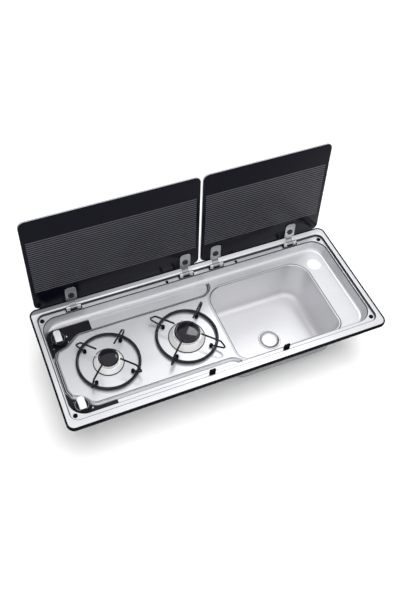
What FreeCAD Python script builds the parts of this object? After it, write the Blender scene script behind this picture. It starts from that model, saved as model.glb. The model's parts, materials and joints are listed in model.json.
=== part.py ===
import FreeCAD, Part
import math
import os
import re
import Sketcher
from FreeCAD import Placement, Rotation, Vector

# A built-in hob and sink unit: one pressed steel top, two gas burners, a sink bowl and two hinged glass lids.
# Millimetres and degrees. The origin is the middle of the rim on the worktop, +X to the right, +Y to the rear.
# A name ending in _level is a height, _x or _y a place in plan, and every other name is a size.

# Sizes that are set by themselves
DIMENSIONS = [
    # pressed top: rim, step, ledge and tray
    ("unit_width", 900),
    ("unit_depth", 370),
    ("rim_corner", 21),
    ("gauge", 1),
    ("rim_level", 9),
    ("side_rim_width", 17),
    ("front_rim_width", 23),
    ("step_corner", 20),
    ("ledge_level", 2),
    ("side_ledge_width", 5),
    ("front_ledge_width", 12),
    ("tray_corner", 44),
    ("tray_draft", 6),
    ("plateau_level", -26),
    ("rim_round", 3),
    ("step_round", 1.5),
    ("ledge_round", 2.5),
    ("floor_round", 10),
    # how far the tools that cut holes reach, and how far those that cut sheet run on past it
    ("cut_depth", 40),
    ("cut_margin", 40),
    # trough round the hob
    ("trough_level", -31),
    ("trough_left_margin", 1),
    ("trough_front_margin", 10),
    ("trough_rear_margin", 21),
    ("front_trough_width", 15),
    ("rear_trough_width", 31),
    ("front_trough_gap", 9),
    ("rear_trough_run", 13),
    ("trough_corner", 28),
    ("trough_reach", 30),
    ("bead_margin", 3),
    ("bead_round", 4.5),
    # the plateau's rear and front ends, and its notches for the knobs, measured from the knobs
    ("rear_end_lean", 3),
    ("rear_end_round", 30),
    ("rear_notch_run", 51),
    ("rear_notch_round", 35),
    ("rear_notch_right", 15),
    ("rear_notch_fall", 20),
    ("rear_notch_bend", 18),
    ("rear_notch_left", 15),
    ("rear_notch_drop", 28),
    ("rear_notch_turn", 20),
    ("rear_notch_foot", 54),
    ("rear_foot_round", 25),
    ("front_notch_foot", 55),
    ("front_foot_round", 20),
    ("front_notch_left", 18),
    ("front_notch_rise", 31),
    ("front_notch_turn", 20),
    ("front_notch_right", 6),
    ("front_notch_lift", 21),
    ("front_notch_bend", 16),
    ("front_notch_run", 30),
    ("front_notch_round", 32),
    ("front_end_round", 30),
    ("front_end_lean", 27),
    # control plates in the trough's corners
    ("plate_gauge", 2.5),
    ("plate_gap", 0.8),
    ("rear_plate_length", 96),
    ("rear_plate_depth", 46),
    ("front_plate_length", 90),
    ("front_plate_depth", 51),
    # sink bowl, waste hole and tap hole
    ("sink_left_margin", 107),
    ("sink_right_margin", 81),
    ("sink_front_margin", 15),
    ("sink_rear_margin", 42),
    ("sink_corner", 50),
    ("sink_front_corner", 28),
    ("sink_draft", 6),
    ("sink_floor_level", -153),
    ("sink_floor_round", 20),
    ("sink_lip", 6),
    ("waste_shift_x", 1),
    ("waste_shift_y", -23.5),
    ("waste_radius", 20.5),
    ("waste_dish_radius", 29),
    ("waste_dish", 3),
    ("tap_hole_setback", 32),
    ("tap_hole_margin", 64),
    ("tap_hole_radius", 20),
    # rim seal, plugs, buffers and rivets
    ("seal_lip", 2.4),
    ("seal_width", 12.6),
    ("seal_corner", 12),
    ("plug_radius", 6),
    ("small_plug_radius", 4.4),
    ("plug_height", 2.5),
    ("plug_round", 1.5),
    ("plug_inset_x", 6.5),
    ("plug_inset_y", 3),
    ("ledge_plug_setback", 5.2),
    ("left_buffer_spread", 59),
    ("right_buffer_spread", 62),
    ("buffer_width", 16),
    ("buffer_depth", 6.4),
    ("buffer_setback", 3.4),
    ("buffer_gap", 0.6),
    ("buffer_round", 1.5),
    ("rivet_radius", 2.2),
    ("rivet_level", -16),
    ("rivet_spread", 35),
    ("rivet_length", 5),
    # burners
    ("burner_y", -16.5),
    ("small_margin", 104),
    ("burner_pitch", 222),
    ("chamber_height", 28),
    ("chamber_wall", 3),
    ("chamber_play", 0.5),
    ("throat_radius", 2),
    ("small_cone_foot", 40),
    ("small_cone_top", 31),
    ("small_cone_height", 12),
    ("small_chamber", 25.5),
    ("small_head", 29),
    ("small_head_height", 9),
    ("small_cap", 27.5),
    ("small_cap_height", 6),
    ("large_cone_foot", 49),
    ("large_cone_top", 38.5),
    ("large_cone_height", 15),
    ("large_chamber", 33),
    ("large_head", 36.5),
    ("large_head_height", 8.5),
    ("large_cap", 35.3),
    ("large_cap_height", 6.5),
    ("cap_round", 3.5),
    ("port_width", 2.2),
    ("port_height", 4.5),
    ("port_pairs", 15),
    ("jet_radius", 6),
    ("jet_length", 12),
    # thermocouples
    ("probe_radius", 2),
    ("probe_play", 0.6),
    ("probe_nut", 5),
    ("probe_nut_height", 5),
    ("small_probe_dx", -28.5),
    ("small_probe_dy", 20.5),
    ("small_probe_level", -5),
    ("large_probe_dx", 1),
    ("large_probe_dy", 41.5),
    ("large_probe_level", -2),
    # pan supports
    ("ring_radius", 82),
    ("ring_wire", 4),
    ("ring_level", -19),
    ("arm_wire", 2.5),
    ("arm_level", 15.5),
    ("arm_low_level", -8),
    ("arm_bend", 7),
    ("foot_reach", 70),
    ("foot_wire_level", -20.5),
    ("foot_radius", 5),
    ("foot_height", 9),
    ("small_arm_inner", 34),
    ("small_arm_outer", 80),
    ("small_arm_reach", 97),
    ("large_arm_inner", 38),
    ("large_arm_outer", 94),
    ("large_arm_reach", 112),
    # lids
    ("lid_open_angle", 97.75),
    ("lid_front_gap", 3),
    ("left_lid_gap", 1),
    ("right_lid_gap", 12),
    ("lid_setback", 19),
    ("lid_lift", 9.5),
    ("lid_corner", 15),
    ("lid_gap", 6.6),
    ("glass_gauge", 5),
    ("left_lid_width", 472),
    # hinges
    ("hinge_level", 11.5),
    ("hinge_setback", 3.5),
    ("left_outer_inset", 101),
    ("left_inner_inset", 41),
    ("right_inner_inset", 45.4),
    ("right_outer_inset", 92),
    ("base_width", 46),
    ("base_setback", 1.5),
    ("base_gap", 2.2),
    ("base_height", 4),
    ("base_round", 1.5),
    ("ear_inset", 10),
    ("ear_width", 10),
    ("ear_depth", 7),
    ("ear_shift", 0.5),
    ("tread_inset", 0.3),
    ("tread_gauge", 1.2),
    ("barrel_radius", 5),
    ("barrel_gap", 0.5),
    ("pin_radius", 2),
    ("pin_play", 0.05),
    ("ear_play", 0.02),
    ("neck_top_reach", 6.5),
    ("neck_low_reach", 8),
    ("neck_overlap", 2),
    ("leaf_width", 31),
    ("leaf_length", 47),
    ("leaf_gauge", 2),
    ("leaf_corner", 10),
    ("clamp_radius", 8.5),
    ("clamp_height", 3),
    ("clamp_cap_height", 2.4),
    ("clamp_inset", 17),
    ("shank_radius", 4),
    ("screw_play", 0.1),
    ("base_screw_radius", 1.1),
    ("base_screw_pitch", 5),
    ("base_screw_setback", 1.7),
    ("base_screw_depth", 3),
    ("base_screw_proud", 0.6),
    # knobs and gas taps
    ("knob_inset_x", 32),
    ("rear_knob_inset", 60),
    ("front_knob_inset", 33),
    ("skirt_radius", 20.5),
    ("skirt_level", -17),
    ("skirt_height", 7),
    ("skirt_round", 2.5),
    ("hub_radius", 10),
    ("hub_length", 7.5),
    ("grip_length", 36),
    ("grip_width", 18),
    ("grip_height", 10),
    ("grip_corner", 5),
    ("grip_round", 2.5),
    ("stem_radius", 4),
    ("stem_hole", 6),
    ("stem_top_level", -13),
    ("stem_foot_level", -53),
    ("plunger_radius", 6.4),
    ("plunger_height", 4),
    ("cavity_radius", 7),
    ("cavity_height", 21),
    ("tap_width", 28),
    ("tap_height", 32),
    ("tap_floor", 4),
    ("tap_wing_width", 44),
    ("tap_wing_depth", 20),
    ("tap_wing_gauge", 4),
    ("tap_screw_radius", 2),
    ("tap_screw_head", 3.2),
    ("tap_screw_head_height", 1.5),
    ("tap_screw_spread", 17),
    # gas pipes and thermocouple leads
    ("pipe_level", -57),
    ("manifold_radius", 6),
    ("feed_radius", 3),
    ("feed_bend", 22),
    ("inlet_radius", 4),
    ("inlet_length", 35),
    ("inlet_nut", 8),
    ("inlet_nut_length", 12),
    ("lead_level", -46),
    ("lead_radius", 1.2),
    ("lead_bend", 11),
    ("lead_shift", 9),
]

# Places that follow from those sizes
PLACES = [
    ("step_width", "unit_width - 2 * side_rim_width"),
    ("step_depth", "unit_depth - 2 * front_rim_width"),
    ("tray_width", "step_width - 2 * side_ledge_width"),
    ("tray_depth", "step_depth - 2 * front_ledge_width"),
    ("knob_x", "knob_inset_x - tray_width / 2"),
    ("small_x", "knob_x + small_margin"),
    ("large_x", "small_x + burner_pitch"),
    ("sink_left_x", "large_x + sink_left_margin"),
    ("sink_width", "tray_width / 2 - sink_right_margin - sink_left_x"),
    ("sink_front_y", "sink_front_margin - tray_depth / 2"),
    ("sink_depth", "tray_depth - sink_front_margin - sink_rear_margin"),
    ("front_trough_end_x", "sink_left_x - front_trough_gap"),
    ("rear_trough_end_x", "sink_left_x + rear_trough_run"),
    ("trough_left_x", "trough_left_margin - tray_width / 2"),
    ("trough_front_y", "trough_front_margin - tray_depth / 2"),
    ("trough_rear_y", "tray_depth / 2 - trough_rear_margin"),
    ("trough_end_x", "rear_trough_end_x + trough_reach"),
    ("waste_x", "sink_left_x + sink_width / 2 + waste_shift_x"),
    ("waste_y", "sink_front_y + sink_depth / 2 + waste_shift_y"),
    ("tap_hole_x", "sink_left_x + sink_width + tap_hole_setback"),
    ("tap_hole_y", "tray_depth / 2 - tap_hole_margin"),
    ("plug_x", "tray_width / 2 - plug_inset_x"),
    ("plug_y", "tray_depth / 2 - plug_inset_y"),
    ("ledge_plug_y", "tray_depth / 2 + ledge_plug_setback"),
    ("sheet_corner", "rim_corner - seal_lip"),
    ("buffer_top_level", "hinge_level + lid_lift - buffer_gap"),
    ("small_probe_x", "small_x + small_probe_dx"),
    ("small_probe_y", "burner_y + small_probe_dy"),
    ("large_probe_x", "large_x + large_probe_dx"),
    ("large_probe_y", "burner_y + large_probe_dy"),
    ("lid_depth", "step_depth - hinge_setback - lid_setback - lid_front_gap"),
    ("left_lid_x", "left_lid_gap - step_width / 2"),
    ("right_lid_x", "left_lid_x + left_lid_width + lid_gap"),
    ("right_lid_width", "step_width / 2 - right_lid_gap - right_lid_x"),
    ("left_outer_hinge_x", "left_lid_x + left_outer_inset"),
    ("left_inner_hinge_x", "left_lid_x + left_lid_width - left_inner_inset"),
    ("right_inner_hinge_x", "right_lid_x + right_inner_inset"),
    ("right_outer_hinge_x", "right_lid_x + right_lid_width - right_outer_inset"),
    ("buffer_one_x", "left_inner_hinge_x - left_buffer_spread"),
    ("buffer_two_x", "right_inner_hinge_x + right_buffer_spread"),
    ("hinge_y", "step_depth / 2 - hinge_setback"),
    ("base_front_y", "tray_depth / 2 + base_setback"),
    ("base_rear_y", "step_depth / 2 - base_gap"),
    ("deck_level", "ledge_level + base_height"),
    ("clamp_setback", "lid_setback + clamp_inset"),
    ("rear_knob_y", "tray_depth / 2 - rear_knob_inset"),
    ("front_knob_y", "front_knob_inset - tray_depth / 2"),
    ("tap_top_level", "trough_level - gauge"),
]

BURNERS = ("small", "large")
CONTROLS = ("rear", "front")
SIDES = (("left", "-"), ("right", "+"))
HINGES = {"left": ("left_outer", "left_inner"), "right": ("right_inner", "right_outer")}
RIVET_PLACES = (("left_outer", "-"), ("left_inner", "-"), ("left_inner", "+"), ("right_inner", "+"),
                ("right_outer", "+"))
ARM_ANGLES = (45, 135, 225, 315)
# how far the plateau's outline runs on past the rim at the right, and at the front and rear
PAST_RIGHT = 70
PAST_SIDE = 15
# where a hinge leaf's neck grows out of its barrel: a share of the radius, and an angle above level
NECK_ROOT = 0.97
NECK_ANGLE = 25

doc = FreeCAD.newDocument("hob_and_sink")
sheet = doc.addObject("Spreadsheet::Sheet", "dims")
parts = []


def fill_sheet():
    rows = [(alias, str(value)) for alias, value in DIMENSIONS]
    rows += [(alias, "=" + text) for alias, text in PLACES]
    for row, (alias, text) in enumerate(rows, start=1):
        sheet.set("A%d" % row, alias)
        sheet.set("B%d" % row, text)
        sheet.setAlias("B%d" % row, alias)
    doc.recompute()


def val(alias):
    return float(sheet.get(alias))


# Small tools that add one object each and bind its sizes to the sheet

def formula(text):
    """Turn a formula of sheet names into one that the document reads."""
    return re.sub(r"[a-z][a-z_]*[a-z]", lambda word: "dims." + word.group(), str(text))


def bind(item, sizes):
    for name, text in sizes.items():
        item.setExpression(name, formula(text))


def at(item, place):
    names = ("Placement.Base.x", "Placement.Base.y", "Placement.Base.z")
    bind(item, dict(zip(names, place)))


def box(name, size, place):
    solid = doc.addObject("Part::Box", name)
    bind(solid, dict(zip(("Length", "Width", "Height"), size)))
    at(solid, place)
    return solid


TURN = {"Z": Rotation(), "X": Rotation(Vector(0, 1, 0), 90), "Y": Rotation(Vector(1, 0, 0), -90)}


def cylinder(name, radius, height, place, axis="Z"):
    solid = doc.addObject("Part::Cylinder", name)
    solid.Placement.Rotation = TURN[axis]
    bind(solid, {"Radius": radius, "Height": height})
    at(solid, place)
    return solid


def cone(name, foot, top, height, place):
    solid = doc.addObject("Part::Cone", name)
    bind(solid, {"Radius1": foot, "Radius2": top, "Height": height})
    at(solid, place)
    return solid


def fuse(name, shapes):
    solid = doc.addObject("Part::MultiFuse", name)
    solid.Shapes = shapes
    return solid


def group(name, shapes):
    pieces = doc.addObject("Part::Compound", name)
    pieces.Links = shapes
    return pieces


def cut(name, base, tool):
    solid = doc.addObject("Part::Cut", name)
    solid.Base = base
    solid.Tool = tool
    return solid


def common(name, base, tool):
    solid = doc.addObject("Part::Common", name)
    solid.Base = base
    solid.Tool = tool
    return solid


def rounded(name, base, choose, radius):
    """Round the edges of base that the function choose picks."""
    doc.recompute()
    size = val(radius)
    solid = doc.addObject("Part::Fillet", name)
    solid.Base = base
    solid.Edges = [(i, size, size) for i, edge in enumerate(base.Shape.Edges, start=1) if choose(edge)]
    return solid


def upright(edge):
    ends = edge.Vertexes
    return len(ends) == 2 and abs(ends[0].Z - ends[1].Z) > 0.6 * edge.Length


def level_at(level):
    def choose(edge):
        limits = edge.BoundBox
        return abs(limits.ZMin - level) < 1e-6 and abs(limits.ZMax - level) < 1e-6
    return choose


def block(name, size, place, corner):
    return rounded(name, box(name + "_block", size, place), upright, corner)


def tapered(name, foot, top, foot_level, height):
    """A block with sloping sides: foot and top are (x, y, width, depth) formulas of its two rectangles."""
    solid = doc.addObject("Part::Wedge", name + "_block")
    solid.Placement.Rotation = Rotation(Vector(1, 0, 0), 90)
    bind(solid, {
        "Xmin": foot[0], "Xmax": "(%s) + (%s)" % (foot[0], foot[2]),
        "Zmax": "-(%s)" % foot[1], "Zmin": "-(%s) - (%s)" % (foot[1], foot[3]),
        "X2min": top[0], "X2max": "(%s) + (%s)" % (top[0], top[2]),
        "Z2max": "-(%s)" % top[1], "Z2min": "-(%s) - (%s)" % (top[1], top[3]),
        "Ymin": foot_level, "Ymax": "(%s) + (%s)" % (foot_level, height),
    })
    return solid


def path_pieces(corners, closed):
    """Lines and tangent arcs through corners, each (first, second, radius)."""
    spots = [Vector(first, second, 0) for first, second, _ in corners]
    ends = []
    for index, (here, corner) in enumerate(zip(spots, corners)):
        inner = closed or 0 < index < len(spots) - 1
        radius = corner[2] if inner else 0
        if not radius:
            ends.append((here, None, here))
            continue
        back = (spots[index - 1] - here).normalize()
        ahead = (spots[(index + 1) % len(spots)] - here).normalize()
        half = back.getAngle(ahead) / 2
        reach = radius / math.tan(half)
        centre = here + (back + ahead).normalize() * (radius / math.sin(half))
        middle = centre + (here - centre).normalize() * radius
        ends.append((here + back * reach, middle, here + ahead * reach))
    pieces = []
    for index, (start, middle, finish) in enumerate(ends):
        if middle is not None:
            pieces.append(Part.Arc(start, middle, finish))
        if closed or index < len(ends) - 1:
            pieces.append(Part.LineSegment(finish, ends[(index + 1) % len(ends)][0]))
    return pieces


def sketch(name, corners, closed=True):
    flat = doc.addObject("Sketcher::SketchObject", name)
    flat.addGeometry(path_pieces(corners, closed))
    return flat


def prism(name, profile, height, direction=Vector(0, 0, 1), both_ways=False):
    solid = doc.addObject("Part::Extrusion", name)
    solid.Base = profile
    solid.DirMode = "Custom"
    solid.Dir = direction
    solid.Solid = True
    solid.Symmetric = both_ways
    bind(solid, {"LengthFwd": height})
    return solid


def offset(name, profile, distance):
    line = doc.addObject("Part::Offset2D", name)
    line.Source = profile
    bind(line, {"Value": distance})
    return line


def swept(name, path, radius, start, turn):
    """A round bar along the sketch path, which starts at the point start and heads along turn's z axis."""
    ring = doc.addObject("Part::Circle", name + "_section")
    ring.Placement = Placement(start, turn)
    bind(ring, {"Radius": radius})
    doc.recompute()
    bar = doc.addObject("Part::Sweep", name)
    bar.Sections = [ring]
    bar.Spine = (path, ["Edge%d" % number for number in range(1, len(path.Shape.Edges) + 1)])
    bar.Solid = True
    return bar


def piece(item, label):
    """Name a finished sub-part; its label names its file."""
    item.Label = label
    parts.append(item)
    return item


# Top plate

def plateau_outline():
    """The raised plateau, with a notch at each left corner for a knob; its right end lies past the tray."""
    front = val("trough_front_y") + val("front_trough_width")
    rear = val("trough_rear_y") - val("rear_trough_width")
    left = val("trough_left_x") + val("bead_margin")
    front_end, rear_end = val("front_trough_end_x"), val("rear_trough_end_x")
    knob_x, rear_knob, front_knob = val("knob_x"), val("rear_knob_y"), val("front_knob_y")
    right, side = val("unit_width") / 2 + PAST_RIGHT, val("unit_depth") / 2 + PAST_SIDE
    corners = [
        (right, -side, 0), (right, side, 0),
        (rear_end + val("rear_end_lean"), side, 0), (rear_end, rear, val("rear_end_round")),
        (knob_x + val("rear_notch_run"), rear, val("rear_notch_round")),
        (knob_x + val("rear_notch_right"), rear_knob - val("rear_notch_fall"), val("rear_notch_bend")),
        (knob_x - val("rear_notch_left"), rear_knob - val("rear_notch_drop"), val("rear_notch_turn")),
        (left, rear_knob - val("rear_notch_foot"), val("rear_foot_round")),
        (left, front_knob + val("front_notch_foot"), val("front_foot_round")),
        (knob_x - val("front_notch_left"), front_knob + val("front_notch_rise"), val("front_notch_turn")),
        (knob_x + val("front_notch_right"), front_knob + val("front_notch_lift"), val("front_notch_bend")),
        (knob_x + val("front_notch_run"), front, val("front_notch_round")),
        (front_end, front, val("front_end_round")), (front_end + val("front_end_lean"), -side, 0),
    ]
    return sketch("plateau_outline", corners)


def trough_outline():
    left, right = val("trough_left_x"), val("trough_end_x")
    front, rear = val("trough_front_y"), val("trough_rear_y")
    corner = val("trough_corner")
    return sketch("trough_outline", [
        (left, front, corner), (right, front, corner), (right, rear, corner), (left, rear, corner)])


def lifted(solid, level):
    bind(solid, {"Placement.Base.z": level})
    return solid


def pressing(name, grow, plateau, trough):
    """The space above the sheet's upper face (grow 0) or above its underside (grow 1), as one solid."""
    tail = "_" + name
    more = "%d * gauge" % grow
    drop = grow * val("gauge")
    rim = box("over_rim" + tail, ("unit_width + 2 * cut_margin", "unit_depth + 2 * cut_margin", "cut_depth"),
              ("-unit_width / 2 - cut_margin", "-unit_depth / 2 - cut_margin", "rim_level - " + more))
    wide, deep = "step_width + 2 * " + more, "step_depth + 2 * " + more
    step = block("step" + tail, (wide, deep, "rim_level - ledge_level + gauge"),
                 ("-(%s) / 2" % wide, "-(%s) / 2" % deep, "ledge_level - " + more), "step_corner")
    wide, deep = "tray_width + 2 * " + more, "tray_depth + 2 * " + more
    low_wide, low_deep = wide + " - 2 * tray_draft", deep + " - 2 * tray_draft"
    sides = tapered("tray" + tail,
                    ("-(%s) / 2" % low_wide, "-(%s) / 2" % low_deep, low_wide, low_deep),
                    ("-(%s) / 2" % wide, "-(%s) / 2" % deep, wide, deep),
                    "plateau_level - " + more, "ledge_level - plateau_level")
    tray = rounded("tray" + tail, sides, upright, "tray_corner")
    floor = rounded("tray_floor" + tail, tray, level_at(val("plateau_level") - drop), "floor_round")
    space = fuse("space" + tail, [rim, step, floor])

    # three bends run right round: rim to step, step to ledge and ledge to tray
    half_width = (val("tray_width") + val("step_width")) / 4 + drop
    half_depth = (val("tray_depth") + val("step_depth")) / 4 + drop
    on_ledge = level_at(val("ledge_level") - drop)

    def on_rim(edge):
        return level_at(val("rim_level") - drop)(edge) and abs(edge.BoundBox.XMin) < val("unit_width") / 2 \
            and abs(edge.BoundBox.XMax) < val("unit_width") / 2

    def on_tray(edge):
        limits = edge.BoundBox
        return on_ledge(edge) and max(abs(limits.XMin), abs(limits.XMax)) < half_width \
            and max(abs(limits.YMin), abs(limits.YMax)) < half_depth

    def on_step(edge):
        return on_ledge(edge) and not on_tray(edge)

    bent = rounded("rim_bend" + tail, space, on_rim, "rim_round")
    bent = rounded("step_bend" + tail, bent, on_step, "step_round")
    bent = rounded("ledge_bend" + tail, bent, on_tray, "ledge_round")

    # the trough is a channel between its own outline and the plateau's
    outer_line = offset("channel_line" + tail, trough, more) if grow else trough
    inner_line = offset("island_line" + tail, plateau, "-" + more) if grow else plateau
    channel = lifted(prism("channel" + tail, outer_line, "ledge_level - ledge_round - trough_level"), "trough_level - " + more)
    island = lifted(prism("island" + tail, inner_line, "-plateau_level"), "2 * plateau_level - " + more)

    def on_bead(edge):
        return level_at(val("plateau_level") - drop)(edge) and edge.BoundBox.XMax < val("unit_width") / 2

    crown = rounded("crown" + tail, island, on_bead, "bead_round")
    return fuse("pressed" + tail, [bent, cut("ring" + tail, channel, crown)])


def top_plate(plateau, trough):
    slab = block("rim_slab", ("unit_width - 2 * seal_lip", "unit_depth - 2 * seal_lip",
                              "rim_level - trough_level + gauge"),
                 ("seal_lip - unit_width / 2", "seal_lip - unit_depth / 2", "trough_level - gauge"),
                 "sheet_corner")
    # steel is what lies above the underside and below the upper face
    skin = common("skin", slab, pressing("lower", 1, plateau, trough))
    steel = cut("steel", skin, pressing("upper", 0, plateau, trough))
    low = "plateau_level - cut_depth / 2"
    mouth = box("sink_mouth_block", ("sink_width", "sink_depth", "cut_depth"), ("sink_left_x", "sink_front_y", low))
    holes = [sink_rounded("sink_mouth", mouth),
             cylinder("tap_hole", "tap_hole_radius", "cut_depth", ("tap_hole_x", "tap_hole_y", low))]
    for size in BURNERS:
        holes.append(cylinder(size + "_opening", size + "_chamber + chamber_play", "cut_depth",
                              (size + "_x", "burner_y", low)))
        holes.append(probe_bore(size, "plate"))
    for control in CONTROLS:
        holes.append(stem_bore(control, "plate"))
        holes += tap_screw_bores(control, "plate")
    holes += rivets("hole", "rivet_radius + pin_play", "(tray_depth - cut_depth) / 2", "cut_depth")
    piece(cut("top_plate", steel, group("top_plate_holes", holes)), "top_plate")


# Sink bowl, seal, plugs, buffers and rivets

def sink_rounded(name, solid):
    """Round the upright edges of a bowl's block, the front ones by less than the rear ones."""
    middle = val("sink_front_y") + val("sink_depth") / 2

    def at_rear(edge):
        return upright(edge) and edge.CenterOfMass.y > middle

    def at_front(edge):
        return upright(edge) and edge.CenterOfMass.y < middle

    half = rounded(name + "_rear", solid, at_rear, "sink_corner")
    return rounded(name, half, at_front, "sink_front_corner")


def sink_space(name, grow):
    more = "%d * gauge" % grow
    wide, deep = "sink_width + 2 * " + more, "sink_depth + 2 * " + more
    left, front = "sink_left_x - " + more, "sink_front_y - " + more
    foot = (left + " + sink_draft", front + " + sink_draft",
            wide + " - 2 * sink_draft", deep + " - 2 * sink_draft")
    sides = tapered(name + "_sides", foot, (left, front, wide, deep), "sink_floor_level - " + more,
                    "plateau_level - sink_floor_level")
    floor = level_at(val("sink_floor_level") - grow * val("gauge"))
    return rounded(name, sink_rounded(name + "_sides", sides), floor, "sink_floor_round")


def sink_bowl():
    flange = box("sink_lip_block", ("sink_width + 2 * sink_lip", "sink_depth + 2 * sink_lip", "gauge"),
                 ("sink_left_x - sink_lip", "sink_front_y - sink_lip", "plateau_level - 2 * gauge"))
    lip = sink_rounded("sink_lip", flange)
    dish = cylinder("waste_dish", "waste_dish_radius + gauge", "waste_dish + gauge",
                    ("waste_x", "waste_y", "sink_floor_level - waste_dish - gauge"))
    hollow = cylinder("waste_hollow", "waste_dish_radius", "waste_dish + gauge",
                      ("waste_x", "waste_y", "sink_floor_level - waste_dish"))
    hole = cylinder("waste_hole", "waste_radius", "cut_depth",
                    ("waste_x", "waste_y", "sink_floor_level - cut_depth / 2"))
    outside = fuse("sink_outside", [sink_space("sink_outer", 1), lip, dish])
    inside = fuse("sink_inside", [sink_space("sink_inner", 0), hollow, hole])
    piece(cut("sink_bowl", outside, inside), "sink_bowl")


def rim_seal():
    """A ring under the rim whose lip wraps the sheet's edge."""
    outer = block("seal_outer", ("unit_width", "unit_depth", "rim_level"),
                  ("-unit_width / 2", "-unit_depth / 2", "0"), "rim_corner")
    inner = block("seal_inner", ("unit_width - 2 * seal_width", "unit_depth - 2 * seal_width", "rim_level"),
                  ("seal_width - unit_width / 2", "seal_width - unit_depth / 2", "0"), "seal_corner")
    rebate = block("seal_rebate", ("unit_width - 2 * seal_lip", "unit_depth - 2 * seal_lip", "gauge"),
                   ("seal_lip - unit_width / 2", "seal_lip - unit_depth / 2", "rim_level - gauge"),
                   "sheet_corner")
    piece(cut("rim_seal", outer, fuse("seal_space", [inner, rebate])), "rim_seal")


def plugs():
    spots = [("plug_radius", across + "plug_x", along + "plug_y") for across in ("-", "") for along in ("-", "")]
    spots += [("small_plug_radius", name, "ledge_plug_y") for name in ("buffer_one_x", "buffer_two_x")]
    heads = []
    top = level_at(val("ledge_level") + val("plug_height"))
    for number, (radius, x, y) in enumerate(spots, start=1):
        stud = cylinder("plug_stud_%d" % number, radius, "plug_height", (x, y, "ledge_level"))
        heads.append(rounded("plug_%d" % number, stud, top, "plug_round"))
    piece(group("fixing_plugs", heads), "fixing_plugs")


def buffers():
    blocks = []
    for number, x in enumerate(("buffer_one_x", "buffer_two_x"), start=1):
        blocks.append(block("buffer_%d" % number,
                            ("buffer_width", "buffer_depth", "buffer_top_level - ledge_level"),
                            (x + " - buffer_width / 2", "-tray_depth / 2 - buffer_setback - buffer_depth",
                             "ledge_level"),
                            "buffer_round"))
    piece(group("front_lid_buffers", blocks), "front_lid_buffers")


def rivets(kind, radius, start, length):
    spots = ["%s_hinge_x %s rivet_spread" % place for place in RIVET_PLACES]
    return [cylinder("rivet_%s_%d" % (kind, number), radius, length, (x, start, "rivet_level"), "Y")
            for number, x in enumerate(spots, start=1)]


def wall_rivets():
    heads = rivets("stud", "rivet_radius", "tray_depth / 2 - rivet_length", "rivet_length")
    piece(group("wall_rivets", heads), "wall_rivets")


# Control plates, knobs and gas taps

def stem_bore(control, owner):
    return cylinder("%s_stem_bore_%s" % (control, owner), "stem_hole", "cut_depth",
                    ("knob_x", control + "_knob_y", "trough_level - cut_depth / 2"))


def tap_screw_bores(control, owner):
    return [cylinder("%s_screw_bore_%s_%s" % (control, side, owner), "tap_screw_radius + screw_play", "cut_depth",
                     ("knob_x %s tap_screw_spread" % sign, control + "_knob_y", "trough_level - cut_depth / 2"))
            for side, sign in SIDES]


def control_plate(control, plateau, trough, limits):
    line = offset(control + "_plate_line", trough, "-plate_gap")
    slab = lifted(prism(control + "_plate_slab", line, "plate_gauge"), "trough_level")
    hill = lifted(prism(control + "_plate_hill", offset(control + "_hill_line", plateau, "plate_gap"), "cut_depth"),
                  "trough_level - cut_depth / 2")
    corner = common(control + "_plate_corner", cut(control + "_plate_ring", slab, hill), limits)
    bores = [stem_bore(control, "cover")] + tap_screw_bores(control, "cover")
    name = control + "_control_plate"
    piece(cut(name, corner, group(control + "_plate_bores", bores)), name)


def control_plates(plateau, trough):
    height = "rim_level - trough_level"
    rear = box("rear_plate_limits", ("knob_x + rear_plate_length + unit_width / 2",
                                     "unit_depth / 2 - rear_knob_y + rear_plate_depth", height),
               ("-unit_width / 2", "rear_knob_y - rear_plate_depth", "trough_level"))
    front = box("front_plate_limits", ("knob_x + front_plate_length + unit_width / 2",
                                       "front_knob_y + front_plate_depth + unit_depth / 2", height),
                ("-unit_width / 2", "-unit_depth / 2", "trough_level"))
    control_plate("rear", plateau, trough, rear)
    control_plate("front", plateau, trough, front)


def knob(control):
    place = ("knob_x", control + "_knob_y")
    disc = cylinder(control + "_skirt_disc", "skirt_radius", "skirt_height", place + ("skirt_level",))
    skirt_top = level_at(val("skirt_level") + val("skirt_height"))
    disc = rounded(control + "_skirt_edge", disc, skirt_top, "skirt_round")
    hub = cylinder(control + "_hub", "hub_radius", "hub_length", place + ("skirt_level - hub_length",))
    bore = cylinder(control + "_hub_bore", "stem_radius + pin_play", "stem_top_level - skirt_level + hub_length",
                    place + ("skirt_level - hub_length",))
    skirt = cut(control + "_knob_skirt", fuse(control + "_skirt_body", [disc, hub]), bore)
    piece(skirt, control + "_knob_skirt")
    bar = block(control + "_grip_bar", ("grip_width", "grip_length", "grip_height"),
                ("knob_x - grip_width / 2", control + "_knob_y - grip_length / 2", "skirt_level + skirt_height"),
                "grip_corner")
    grip_top = level_at(val("skirt_level") + val("skirt_height") + val("grip_height"))
    piece(rounded(control + "_knob_grip", bar, grip_top, "grip_round"), control + "_knob_grip")


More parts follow.
